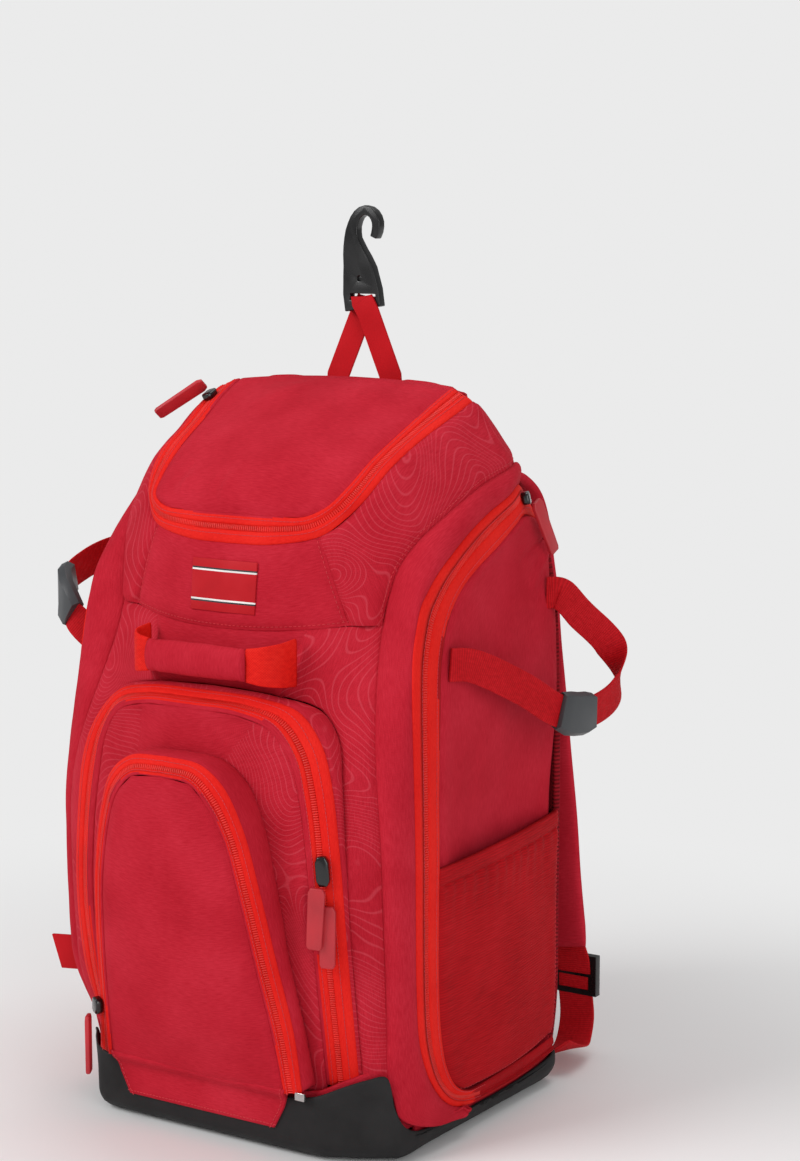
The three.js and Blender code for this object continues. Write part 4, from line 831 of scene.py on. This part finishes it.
# Nylon webbing of the handle ends, woven: orange red with a coarse checked rib
BRIGHT_WEB = woven("bright_webbing", "DC1612", "EA2018", "F22C22", streak=(2.2, 5), ribs=(1.9, 1.9), depth=.5,
                   rough=.7, gap=.78)
# Polyester stretch knit: deep red with fine ribs up and down
KNIT = woven("stretch_knit", "A00A14", "B20E18", "BE141E", streak=(1.6, 20), ribs=(2.1, None), depth=.45,
             rough=.8, gap=.8)
# Polyester spacer mesh, warp-knitted: red, with rows of openings darkened by painted shade
AIR_MESH = woven("air_mesh", "8E1420", "9C1723", "AA1F2B", thread=3.2, streak=(4, 4), depth=.9, rough=.9,
                 gap=.35)
# Nylon lining of the bat sleeves, plain woven: matt black that swallows the light
LINING = woven("sleeve_lining", "141213", "1E1B1D", "2A2729", depth=.3)
# Nylon coil, moulded: smooth red teeth with a soft shine
COIL = moulded("nylon_coil", "E2211A", .5, depth=.05)
# Bonded polyester thread: even, slightly lighter than the cloth
THREAD = moulded("polyester_thread", "D0303C", .7, depth=.05)
# EVA foam, compression moulded: matt black with a fine leather-like grain
EVA = moulded("moulded_eva", "0E0C0D", .75, grain=650.0, depth=.3)
# Acetal, injection moulded: black with a satin shine on its rounded edges
ACETAL_BLACK = moulded("acetal_black", "121213", .3, depth=.08)
# Acetal, injection moulded in dark grey with a duller, spark-eroded face
ACETAL_GREY = moulded("acetal_grey", "3A3C3F", .42, depth=.12)
# Die-cast zinc, enamelled: glossy black sliders with a clear top coat
ENAMEL = moulded("enamelled_zinc", "0C0C0D", .22, coat=.6, metallic=.3)
# Soft PVC of the pulls, moulded: dull red, a little waxy
PULL_RUBBER = moulded("pull_rubber", "B82630", .5, depth=.12)
# Polyester satin of the label, woven: smooth red with long shiny floats
SATIN = woven("satin_label", "A8141E", "C01A24", "CC2A34", thread=.8, streak=(6, .8), depth=.12, rough=.5)
# Label yarns, satin-woven: flat white and black lines
WHITE_YARN = moulded("white_label_yarn", "E9E4E2", .6, depth=.05)
BLACK_YARN = moulded("black_label_yarn", "17151A", .6, depth=.05)
# Nickel plate on brass, polished: a bright silver glint
NICKEL = moulded("nickel_plate", "B8B8B6", .25, metallic=1.0)


# Lid, zipper, roof
across = steps(210) * 2 - 1
lid_grid = crowned(TOP_INNER[:TOP_CORNER + 1], TOP_INNER[TOP_CORNER:], LID_LINE, 2.2, 2.2, across, steps(215))
cloth("lid_cloth", lid_grid, CANVAS, "cloth_red", ["lid"], rough=.55, seed=3, grooves=((2.5, .5),),
      folds=LID_FOLDS)

places = np.linspace(0, 8, 170)
top_outer, top_inner = both(at(TOP_OUTER, places)), both(at(TOP_INNER, places))
zipper("top_zipper_band", top_outer, top_inner, [TAPE, CANVAS], "zipper_tape", ["top_zipper"], seed=11,
       place_of_coil=.52, cloth_from=.97)

crest = both(np.concatenate([lid_grid[-1][len(across) // 2:], at(TOP_OUTER, [8.0])]))
half_crest = crest[len(crest) // 2:]
share = half_crest[:, 0] / half_crest[-1, 0]
end = ROOF_MIDDLE[None] * (1 - share[:, None] ** 4) + ROOF_SIDE[None] * share[:, None] ** 4
back_line = both(np.stack([ROOF_SIDE[0] * share, end[:, 1], end[:, 2]], -1))
rows = steps(72, .9, 2.5)[:, None, None]
roof_grid = crest[None] * (1 - rows) + back_line[None] * rows
roof_grid[..., 2] += 4 * ROOF_RISE * rows[..., 0] * (1 - rows[..., 0])
roof_edge = at(roof_grid[:, -1], np.linspace(0, len(roof_grid) - 1, 9))[::-1]
roof = cloth("roof_cloth", roof_grid, CANVAS, "cloth_red", ["roof_panel"], rough=.3, seed=17)
roof_piece = bpy.data.objects["roof_cloth"]
for sign in (-1, 1):
    above = (sign * SLEEVE["x"] / 1000, SLEEVE["y"] / 1000, SIZE[2] / 1000)
    bpy.ops.mesh.primitive_cylinder_add(vertices=48, radius=1, depth=.3, location=above)
    cutter = bpy.context.object
    cutter.scale = ((SLEEVE["rx"] + SLEEVE["gap"]) / 1000, (SLEEVE["ry"] + SLEEVE["gap"]) / 1000, 1)
    bpy.context.view_layer.update()
    use(roof_piece, "BOOLEAN", object=cutter, operation="DIFFERENCE", solver="EXACT")
    bpy.data.objects.remove(cutter)


angle = np.linspace(0, 2 * np.pi, 49)
for sign, hand in SIDES:
    rings = []
    for grow, drop in SLEEVE_PROFILE:
        x = sign * SLEEVE["x"] + (SLEEVE["rx"] + grow) * np.cos(angle)
        y = SLEEVE["y"] + (SLEEVE["ry"] + grow) * np.sin(angle)
        if drop is None:
            z = np.full_like(x, SLEEVE["bottom"] + (SLEEVE["floor"] if grow < 0 else 0))
        else:
            z = on_surface(roof["points"], x, y, 1) + SLEEVE["proud"] - drop
        rings.append(np.stack([x, y, z], -1))
    grid = np.array(rings)
    piece = skin(grid, np.stack([reach(grid, 1)[0], grid[..., 2]], -1), f"sleeve_{hand}")
    tidy(piece, weld=True, fill=True)
    done(piece, [LINING, CANVAS], [f"bat_sleeve_{hand}"])
    # The rim is bound with the bag's cloth
    paint(piece, lambda u, v, c: (np.hypot((c[:, 0] - sign * SLEEVE["x"]) / SLEEVE["rx"],
                                           (c[:, 1] - SLEEVE["y"]) / SLEEVE["ry"]) > .955) & (c[:, 2] > 500))

# Yoke, centre, shoulder and side panels
across = steps(170) * 2 - 1
yoke_grid = crowned(TOP_OUTER[:TOP_CORNER + 1], YOKE_SIDE, YOKE_LINE, 2.4, 2, across, steps(66))
yoke = cloth("yoke_cloth", yoke_grid, CANVAS, "cloth_red", ["yoke"], rough=.4, seed=21, grooves=((3, .5),))
share = np.linspace(0, 1, 5)[:, None]
growth = np.concatenate([share, share ** 2, share ** 2], 1)
centre_rim = CENTRE_LINE[0] + (CENTRE_SIDE[0] - CENTRE_LINE[0]) * growth
centre_grid = crowned(centre_rim, CENTRE_SIDE, CENTRE_LINE, 2, 2, across, steps(48))
centre = cloth("centre_cloth", centre_grid, CANVAS, "cloth_red", ["centre_panel"], rough=.4, seed=23)

shoulder_inner = np.concatenate([roof_edge[::2], at(TOP_OUTER, np.linspace(8, 2, 13))[1:],
                                 smooth(YOKE_SIDE)[1:]])
shoulder_seam = smooth(SEAM)[:YOKE_ROW * STEPS + 1]
rail = steps(330) * (len(shoulder_seam) - 1)
shoulder_grid = between(at(shoulder_inner, rail), at(shoulder_seam, rail), steps(48), 4)

side_inner_line = np.concatenate([smooth(CENTRE_SIDE), smooth(LARGE_FOOT)[STEPS + 1:]])
seam_low = smooth(SEAM)[YOKE_ROW * STEPS:BASE_ROW * STEPS + 1]
seam_low = np.vstack([seam_low, [*seam_low[-1, :2], side_inner_line[-1, 2]]])
front_outer = at(seam_low, steps(360) * (len(seam_low) - 1))
front_inner = at_height(at(side_inner_line, np.linspace(0, len(side_inner_line) - 1, 200)), front_outer[:, 2])
front_inner[:, 0] -= 2.6  # tucked under the pocket's wall
front_side_grid = between(front_inner, front_outer, steps(36), 1.5)

rail = steps(620) * (len(SEAM) - 1)
gusset_grid = between(at(SEAM, rail), at(SIDE_OUTER, rail), steps(30), 5)
rail = np.linspace(0, len(SIDE_OUTER) - 1, 260)
side_outer, side_inner = at(SIDE_OUTER, rail), at(SIDE_INNER, rail)
door_end = length_of(side_outer[rail < DOOR_END_ROW]) / length_of(side_outer)

# Side panel with its recess, and the stretch pocket over it
door = smooth(SIDE_INNER)[:CORNER_ROW * STEPS + 1]


def back_seam(z):
    """The seam at the back of the side, at given heights."""
    line = at_height(at(BACK_SIDE, np.linspace(0, len(BACK_SIDE) - 1, 200)), z)
    return np.stack([line[..., 0], np.full_like(z, BACK_SEAM_Y), z], -1)


front = door[2:]
back = back_seam(np.minimum(front[:, 2], door[0, 2] - (np.arange(len(front)) + 1) * 3))
rail = steps(430) * (len(front) - 1)
cross = steps(170)
side_grid = between(at(front, rail), at(back, rail), cross, 1.5)
hollow = RECESS["rim"] + (1 - RECESS["rim"]) * np.sin(np.pi * cross)
depth = ease((RECESS["from"] - side_grid[..., 2]) / RECESS["fade"])
side_grid[..., 0] -= RECESS["deep"] * depth * hollow[:, None]
side_grid[..., 1] += RECESS["inset"] * depth * (1 - 2 * cross[:, None])


def pocket_grid(front_ends, back_ends, down, across_shares):
    """Rows across the pocket; ends are the heights of its top and its foot in front and at the back."""
    line = at(door, np.linspace(0, len(door) - 1, 400))
    front_line = at_height(line, front_ends[0] + (front_ends[1] - front_ends[0]) * down)
    back_side = back_seam(back_ends[0] + (back_ends[1] - back_ends[0]) * down)
    return between(front_line, back_side, across_shares, POCKET["puff"])


tops = [(POCKET[end], POCKET[end] - POCKET["hem"]) for end in ("front", "back")]
hem_grid = pocket_grid(*tops, np.linspace(0, 1, 9), steps(175))
feet = [(tops[0][1], door[-1, 2] + POCKET["lift"]), (tops[1][1], SIDE_INNER[-1, 2] + POCKET["lift"])]
knit_grid = pocket_grid(*feet, steps(165), steps(175, far=2.2))
down, side = reach(knit_grid, 1)[0], reach(knit_grid, 0)[0]
gather = POCKET["gather_high"] * np.exp(-down / 16) * np.sin(
    side * 2 * np.pi / POCKET["gather"] + 1.1 * np.sin(side / 17))

left_folds = [((SIDE_WIDTH - a[0], a[1]), (SIDE_WIDTH - b[0], b[1]), *form) for a, b, *form in SIDE_FOLDS]
panels = {}
for sign, hand in SIDES:
    right = sign > 0
    panels["shoulder", hand] = mirrored(
        f"shoulder_cloth_{hand}", shoulder_grid, sign, CONTOUR, "contour_cloth", [f"shoulder_panel_{hand}"],
        rough=.5, seed=31 + sign, grooves=((3, .4),))
    mirrored(f"front_side_cloth_{hand}", front_side_grid, sign, CONTOUR, "contour_cloth",
             [f"front_side_panel_{hand}"], rough=.35, seed=35 + sign)
    mirrored(f"gusset_cloth_{hand}", gusset_grid, sign, CANVAS, "cloth_red", [f"gusset_{hand}"], rough=.4,
             seed=41 + sign)
    outer, inner = (side_outer, side_inner) if right else (flip(side_outer), flip(side_inner))
    # Behind the door's corner the foot of the band is stretch knit
    zipper(f"side_zipper_band_{hand}", outer, inner, [TAPE, KNIT], "zipper_tape", [f"side_zipper_{hand}"],
           coil=5.0, seed=45 + sign, place_of_coil=.42, cloth_from=.97, ends=(.02, door_end),
           second=lambda c: (c[:, 1] > 4) & (c[:, 2] < 62))
    mirrored(f"side_cloth_{hand}", side_grid, sign, CANVAS, "cloth_red",
             [f"side_panel_{hand}", f"pocket_back_{hand}"], rough=.7, seed=51 + sign,
             folds=SIDE_FOLDS if right else left_folds)
    panels["hem", hand] = mirrored(
        f"pocket_hem_band_{hand}", hem_grid, sign, KNIT, "stretch_knit", [f"pocket_hem_{hand}"], seam=.8,
        pillow=0, rough=.15, seed=55, thick=2.0, relief=np.full(hem_grid.shape[:2], .9))
    panels["knit", hand] = mirrored(
        f"stretch_cloth_{hand}", knit_grid, sign, KNIT, "stretch_knit", [f"stretch_pocket_{hand}"], rough=.5,
        seed=57 + sign, relief=gather if right else gather[:, ::-1])

for panel, edges in ((yoke, "lrb"), (panels["shoulder", "right"], "b"), (panels["shoulder", "left"], "b"),
                     (panels["hem", "right"], "b"), (panels["hem", "left"], "b"),
                     (panels["knit", "right"], "br"), (panels["knit", "left"], "b")):
    for edge in edges:
        sew(*inset_line(panel, edge, EDGE_STITCH["in"]), EDGE_STITCH["pitch"])

# Pockets on the front
places = np.linspace(0, 7, 150)
large_foot, large_outer, large_inner = (
    both(at(line, places)) for line in (LARGE_FOOT, LARGE_OUTER, LARGE_INNER))
wall = between(large_foot, large_outer, steps(20), 0, INTO_LARGE)
cloth("large_side_cloth", wall, CONTOUR, "contour_cloth", ["large_pocket_side"], INTO_LARGE, rough=.4,
      seed=61)
zipper("large_zipper_band", large_outer, large_inner, [TAPE, CANVAS], "zipper_tape", ["large_pocket_zipper"],
       INTO_LARGE, seed=63, cloth_from=.8)
across = steps(200) * 2 - 1
large_grid = crowned(LARGE_INNER[:2], LARGE_INNER[1:], LARGE_LINE, 2.4, 2, across, steps(290))
# The face goes on down inside the base's rim
large_grid = np.concatenate([large_grid] + [large_grid[-1:] - [0, 0, drop] for drop in (4, 8, 12, 16)])
x, z = large_grid[..., 0], large_grid[..., 2]
left_seam, right_seam = ((-41, 340), (-56, 262)), ((72, 340), (1, 262))
relief = seam_groove(x, z, left_seam, .8) + seam_groove(x, z, right_seam, .8)
large = cloth(
    "large_face_cloth", large_grid, [CANVAS, CONTOUR], "cloth_red", ["large_pocket_face"], INTO_LARGE,
    rough=.5, seed=65, relief=relief,
    second=lambda u, v, c: ((beside(c[:, 0], c[:, 2], left_seam) > 0)
                            | (beside(c[:, 0], c[:, 2], right_seam) < 0)))
small_outer, small_inner = both(at(SMALL_OUTER, places)), both(at(SMALL_INNER, places))
small_foot = small_outer.copy()
small_foot[:, 1] = on_surface(large["points"], small_outer[:, 0], small_outer[:, 2], 2) - 1.5
wall = between(small_foot, small_outer, steps(26), 0, INTO_SMALL)
cloth("small_side_cloth", wall, CANVAS, "cloth_red", ["small_pocket_side"], INTO_SMALL, rough=.4, seed=67)
zipper("small_zipper_band", small_outer, small_inner, [TAPE, CANVAS], "zipper_tape", ["small_pocket_zipper"],
       INTO_SMALL, coil=3.8, seed=69, place_of_coil=.62, swell=.8, cloth_from=.9)
across = steps(150) * 2 - 1
small_grid = crowned(SMALL_INNER[:2], SMALL_INNER[1:], SMALL_LINE, 2.4, 2, across, steps(250))
cloth("small_face_cloth", small_grid, CANVAS, "cloth_red", ["small_pocket_face"], INTO_SMALL, rough=.6,
      seed=71)

# Padded back with its air channels
across = steps(320) * 2 - 1
rows = steps(520) * (len(BACK_SIDE) - 1)
edge, middle = at(BACK_SIDE, rows), at(BACK_LINE, rows)
share = np.abs(across)[None]
back_grid = np.stack([edge[:, :1] * across[None],
                      middle[:, 1:2] + (edge[:, 1:2] - middle[:, 1:2]) * share ** 6,
                      middle[:, 2:] + (edge[:, 2:] - middle[:, 2:]) * share ** 4], -1)
x, z = back_grid[..., 0], back_grid[..., 2]
upright = (np.clip((z - CHANNEL["low"]) / CHANNEL["fade"], 0, 1)
           * np.clip((CHANNEL["high"] - z) / CHANNEL["fade"], 0, 1))
channel = sum(bump_at(x, place_x, CHANNEL["wide"]) for place_x in (-CHANNEL["x"], CHANNEL["x"])) * upright
channel += sum(bump_at(z, level, CHANNEL["wide"]) for level in CHANNEL["z"]) * (np.abs(x) < CHANNEL["reach"])
cloth("back_pad", back_grid, AIR_MESH, "air_mesh", ["back_panel"], rough=.6, seed=81, thick=6,
      relief=CHANNEL["puff"] - CHANNEL["deep"] * np.clip(channel, 0, 1))

# Base
half = at(BASE_RIM, np.linspace(0, len(BASE_RIM) - 1, 150))
ring = np.concatenate([half, flip(half[::-1][1:])])
way = INTO_BODY(ring * [1, 1, 0] + [0, 0, SIZE[2] / 2]) * [1, 1, 0]
# The left front corner stands lower, where the bag settles
top = np.where((ring[:, 0] < -90) & (ring[:, 1] < 0), np.minimum(ring[:, 2], 50), ring[:, 2])
rings = []
for inset, level, share in BASE_PROFILE:
    points = ring + way * inset
    points[:, 2] = level + share * top
    rings.append(points)
grid = np.array(rings)
piece = skin(grid, np.stack([reach(grid, 1)[0], reach(grid, 0)[0]], -1), "base_tray")
tidy(piece, weld=True, fill=True)
done(piece, EVA, ["base"])

# Cloth inside the base's rim, where the front pockets and the sides end
front_part = (half[:, 0] > 52) & (half[:, 1] < -70)
side_part = (half[:, 0] > 120) & (half[:, 1] >= -75) & (half[:, 1] < 150)
for name, part, inset, lowest, rises, seed in (
        ("foot_cloth", front_part, 8, 24, (2, -2, -6, -11, -16, -22), 95),
        ("side_foot_cloth", side_part, 5, 0, (12, 9, 6, 3, 0, -3), 97)):
    inside = (half + way[:len(half)] * inset)[part] * [1, 1, 0]
    heights = [np.clip(half[part, 2:] + rise, lowest, 74) for rise in rises]
    foot_grid = np.stack([inside + [0, 0, 1] * height for height in heights])
    for sign, hand in SIDES:
        mirrored(f"{name}_{hand}", foot_grid, sign, CANVAS, "cloth_red", [], seam=.3, pillow=0, rough=.1,
                 seed=seed + (sign < 0))

# Handle
UPRIGHT, SIDEWAYS = np.array([0, 0, 1.0]), np.array([1.0, 0, 0])
turns = np.linspace(0, 2 * np.pi, 33)[:-1]
ends = GRIP["half"] - np.array([0, .2, .8, 3])
x = np.concatenate([-ends, np.linspace(-40, 40, 40), ends[::-1]])
swell = np.where(np.abs(x) > GRIP["half"] - .5, .8, 1)
swell = swell * (1 + .05 * np.cos(x / GRIP["half"] * np.pi / 2))
swell = swell * (1 - .06 * bump_at(np.abs(x), GRIP["hem"], 1.2))
section = np.stack([np.cos(turns) * GRIP["tall"] / 2, np.sin(turns) * GRIP["deep"] / 2], -1)
wrinkle = 1 + .012 * np.sin(x[:, None] / 4.5 + 2 * np.sin(turns)[None]) * np.sin(turns + 1)[None]
sections = section[None] * (swell[:, None] * wrinkle)[..., None]
path = np.stack([x, np.full_like(x, GRIP["y"]), np.full_like(x, GRIP["z"])], -1)
grip = sweep("grip_pad", path, UPRIGHT, sections, CANVAS, ["handle_grip"])

foot_x = smooth(CENTRE_SIDE)[2, 0]
foot_y = on_surface(centre["points"], foot_x - 1, GRIP["z"], 2)[0] - 3.5
web_way = [(GRIP["half"] + .5, GRIP["y"]), (57, GRIP["y"] + 2), (66, GRIP["y"] + 12), (foot_x + 4, foot_y)]
web_path = at([(x, y, GRIP["z"]) for x, y in web_way], np.linspace(0, 3, 26))
widths = np.linspace(HANDLE_WEB["narrow"], HANDLE_WEB["wide"], 26)
sections = np.stack([round_flat(wide, HANDLE_WEB["thick"], 24, 10) for wide in widths])
for sign, hand in SIDES:
    path = web_path if sign > 0 else flip(web_path)
    sweep(f"handle_web_{hand}", path, UPRIGHT, sections, BRIGHT_WEB, [f"handle_end_{hand}"])

# Shoulder straps and their lower webbing
along = np.linspace(0, 1, 120)
taper = np.clip(along - STRAP["taper_from"], 0, 1) / (1 - STRAP["taper_from"])
widths = STRAP["top"] + (STRAP["foot"] - STRAP["top"]) * taper
ends = np.clip(np.minimum(np.arange(120), 119 - np.arange(120)) / 3, 0, 1) ** .5
strap_sections = np.stack([round_flat(wide - 2 * (1 - end), STRAP["thick"] * (.35 + .65 * end), 32, 3.2)
                           for wide, end in zip(widths, ends)])
strap_path = at(STRAP_WAY, along * (len(STRAP_WAY) - 1))
rows = np.linspace(0, len(LOWER_WAY) - 1, 70)
lower_path = at(LOWER_WAY, rows)
lower_turn = np.radians(np.interp(rows, np.arange(len(LOWER_TURN)), LOWER_TURN))
for sign, hand in SIDES:
    mirror = (lambda line: line) if sign > 0 else flip
    strap = sweep(f"strap_pad_{hand}", mirror(strap_path), SIDEWAYS, strap_sections, CANVAS,
                  [f"shoulder_strap_{hand}"])
    side = np.stack([np.cos(lower_turn), 0 * lower_turn, np.sin(lower_turn) * sign], -1)
    section = round_flat(LOWER_WEB["wide"], LOWER_WEB["thick"], 24, 12)
    sweep(f"lower_web_{hand}", mirror(lower_path), side, section, WEBBING,
          [f"lower_webbing_{hand}"])

# Glove straps
section = round_flat(GLOVE_WEB["wide"], GLOVE_WEB["thick"], 24, 12)
for hand, table in (("right", GLOVE_RIGHT), ("left", flip(GLOVE_LEFT))):
    path = at(table, np.linspace(0, len(table) - 1, 120))
    sweep(f"glove_web_{hand}", path, UPRIGHT, section, WEBBING, [f"glove_strap_{hand}"])

# Hardware and webbing with rounded edges, this many millimetres wide
CASE_EDGE, LOCK_EDGE, METAL_EDGE, RUBBER_EDGE, WEB_EDGE, LABEL_EDGE = 1.6, 1.0, 1.2, .9, .6, .3
bevelled("hook_body", "hook", CASE_EDGE, ACETAL_BLACK)
for hand in ("right", "left"):
    bevelled(f"lock_{hand}", f"ladder_lock_{hand}", LOCK_EDGE, ACETAL_BLACK)
    bevelled(f"buckle_{hand}", f"glove_buckle_{hand}", CASE_EDGE, ACETAL_GREY)
    bevelled(f"slider_side_{hand}", f"side_slider_{hand}", METAL_EDGE, ENAMEL)
    bevelled(f"pull_side_{hand}", f"side_pull_{hand}", RUBBER_EDGE, PULL_RUBBER)
for node in ("top_slider", "pocket_sliders", "small_slider"):
    bevelled(f"{node}_body", node, METAL_EDGE, ENAMEL)
for node in ("top_pull", "pocket_pull_front", "pocket_pull_rear", "small_pull"):
    bevelled(f"{node}_body", node, RUBBER_EDGE, PULL_RUBBER)
bevelled("hook_web", "hook_webbing", WEB_EDGE, WEBBING)
bevelled("side_loop", "loop_tag", WEB_EDGE, WEBBING)

# Flap on the base, which goes on from the small pocket's face
across = steps(150, .9, 3) * 2 - 1
heights, depths, halves = (np.array(column)[:, None] for column in zip(*TAB_ROWS))
tab_grid = np.stack(np.broadcast_arrays(halves * across, depths, heights), -1)
tab = cloth("base_tab", tab_grid, CANVAS, "webbing", ["front_tab"], seam=.3, pillow=0, rough=.1, seed=91,
            keep="t")
for edge in "lrb":
    sew(*inset_line(tab, edge, 2.6), 3.0)

# Metal stop at the foot of the small pocket's zipper: a cube, squeezed, with a step round each face
STOP = {"cube": .01, "at": (.0945, -.1285, .0505), "squeeze": (.85, .26, .62), "step": .0006,
        "edge": .0005, "angle": 40}
bpy.ops.object.select_all(action="DESELECT")
bpy.ops.mesh.primitive_cube_add(size=STOP["cube"], location=STOP["at"])
clip = bpy.context.active_object
clip.name = "zipper_stop"
bpy.ops.object.mode_set(mode="EDIT")
bpy.ops.transform.resize(value=STOP["squeeze"])
bpy.ops.mesh.select_mode(type="FACE")
bpy.ops.mesh.inset(thickness=STOP["step"], use_individual=True)
bpy.ops.object.mode_set(mode="OBJECT")
bpy.ops.object.transform_apply(location=True, rotation=True, scale=True)
use(clip, "BEVEL", width=STOP["edge"], segments=2, limit_method="ANGLE",
    angle_limit=math.radians(STOP["angle"]))
done(clip, NICKEL)

# Label with its woven lines: 1 is white yarn, 2 is black, each from one share of its height to another
LABEL_LINES = ((1, .2, .235), (2, .17, .2), (1, .77, .805), (2, .805, .835))
label = bevelled("label_patch", "label", LABEL_EDGE, [SATIN, WHITE_YARN, BLACK_YARN])
levels = [vertex.co.z for vertex in label.data.vertices]
low, tall = min(levels), max(levels) - min(levels)
for yarn, first, last in LABEL_LINES:
    edit = bmesh.new()
    edit.from_mesh(label.data)
    for share in (first, last):
        bmesh.ops.bisect_plane(edit, geom=edit.verts[:] + edit.edges[:] + edit.faces[:],
                               plane_co=(0, 0, low + tall * share), plane_no=(0, 0, 1))
    for face in edit.faces:
        if first < (face.calc_center_median().z - low) / tall < last:
            face.material_index = yarn
    edit.to_mesh(label.data)
    edit.free()

# Teeth and stitches: where each section lies along them, and its half width and half height
TOOTH = [(-2.2, .3, .3), (-1.7, .62, .62), (1.7, .62, .62), (2.2, .3, .3)]
STITCH = [(-1.2, .12, .12), (-.7, .34, .3), (.7, .34, .3), (1.2, .12, .12)]
STITCH_LIFT = .12
tooth, tooth_faces = prism(6, TOOTH)
repeated("zipper_teeth", tooth[:, [1, 0, 2]], tooth_faces, TEETH, COIL)
stitch, stitch_faces = prism(4, STITCH)
sewn_rows = []
for spot, up, way in STITCHES:
    along, across, up = frames(way, up)
    sewn_rows.append((spot + up * STITCH_LIFT, along, across, up))
repeated("seam_stitches", stitch, stitch_faces, sewn_rows, THREAD)

# Studio paper that fades into the backdrop
PALE = (.83, .83, .83, 1)
bpy.ops.mesh.primitive_circle_add(vertices=128, radius=7, fill_type="NGON", location=(0, 0, -.0008))
floor = bpy.context.object
floor.name = "studio_floor"
paper, tree, shader = blank("studio_paper", Base_Color=(.9, .9, .9, 1), Roughness=1.0, Specular_IOR_Level=0.0)
place_at = add_node(tree, "TexCoord")
distance = add_node(tree, "VectorMath", {0: place_at.outputs["Object"]}, operation="LENGTH")
fade = add_node(tree, "MapRange", {"Value": distance.outputs["Value"], "From Min": .3, "From Max": .9},
                interpolation_type="SMOOTHSTEP")
glow = add_node(tree, "Emission", {"Color": PALE, "Strength": 1.0})
mixed = add_node(tree, "MixShader", {"Fac": fade.outputs[0], 1: shader.outputs[0], 2: glow.outputs[0]})
tree.links.new(mixed.outputs[0], tree.nodes["Material Output"].inputs["Surface"])
floor.data.materials.append(paper)

world = bpy.data.worlds.new("studio")
bpy.context.scene.world = world
world.use_nodes = True
tree = world.node_tree
backdrop = tree.nodes["Background"]
backdrop.inputs["Color"].default_value = PALE
lighting = add_node(tree, "Background", {"Color": PALE, "Strength": .42})
light_path = add_node(tree, "LightPath")
mixed = add_node(tree, "MixShader", {"Fac": light_path.outputs["Is Camera Ray"], 1: lighting.outputs[0],
                                     2: backdrop.outputs[0]})
tree.links.new(mixed.outputs[0], tree.nodes["World Output"].inputs["Surface"])

# Lights and camera
lamp("key_light", (-1.5, -2.3, 2.1), (0, 0, .3), 1.6, 57)
lamp("fill_light", (2.4, -1.6, 1.0), (0, 0, .3), 1.8, 27)
lamp("top_light", (.2, .6, 2.6), (0, 0, .4), 1.5, 18)
bpy.context.scene.view_settings.view_transform = "Standard"

camera_data = bpy.data.cameras.new("camera")
camera_data.sensor_width = 36
camera_data.lens = 79.4
camera = bpy.data.objects.new("camera", camera_data)
bpy.context.collection.objects.link(camera)
camera.location = (1.1486, -1.5887, .6913)
azimuth, elevation = math.radians(33.5), math.radians(8.2)
camera.rotation_euler = (math.pi / 2 - elevation, 0, azimuth)
bpy.context.scene.camera = camera
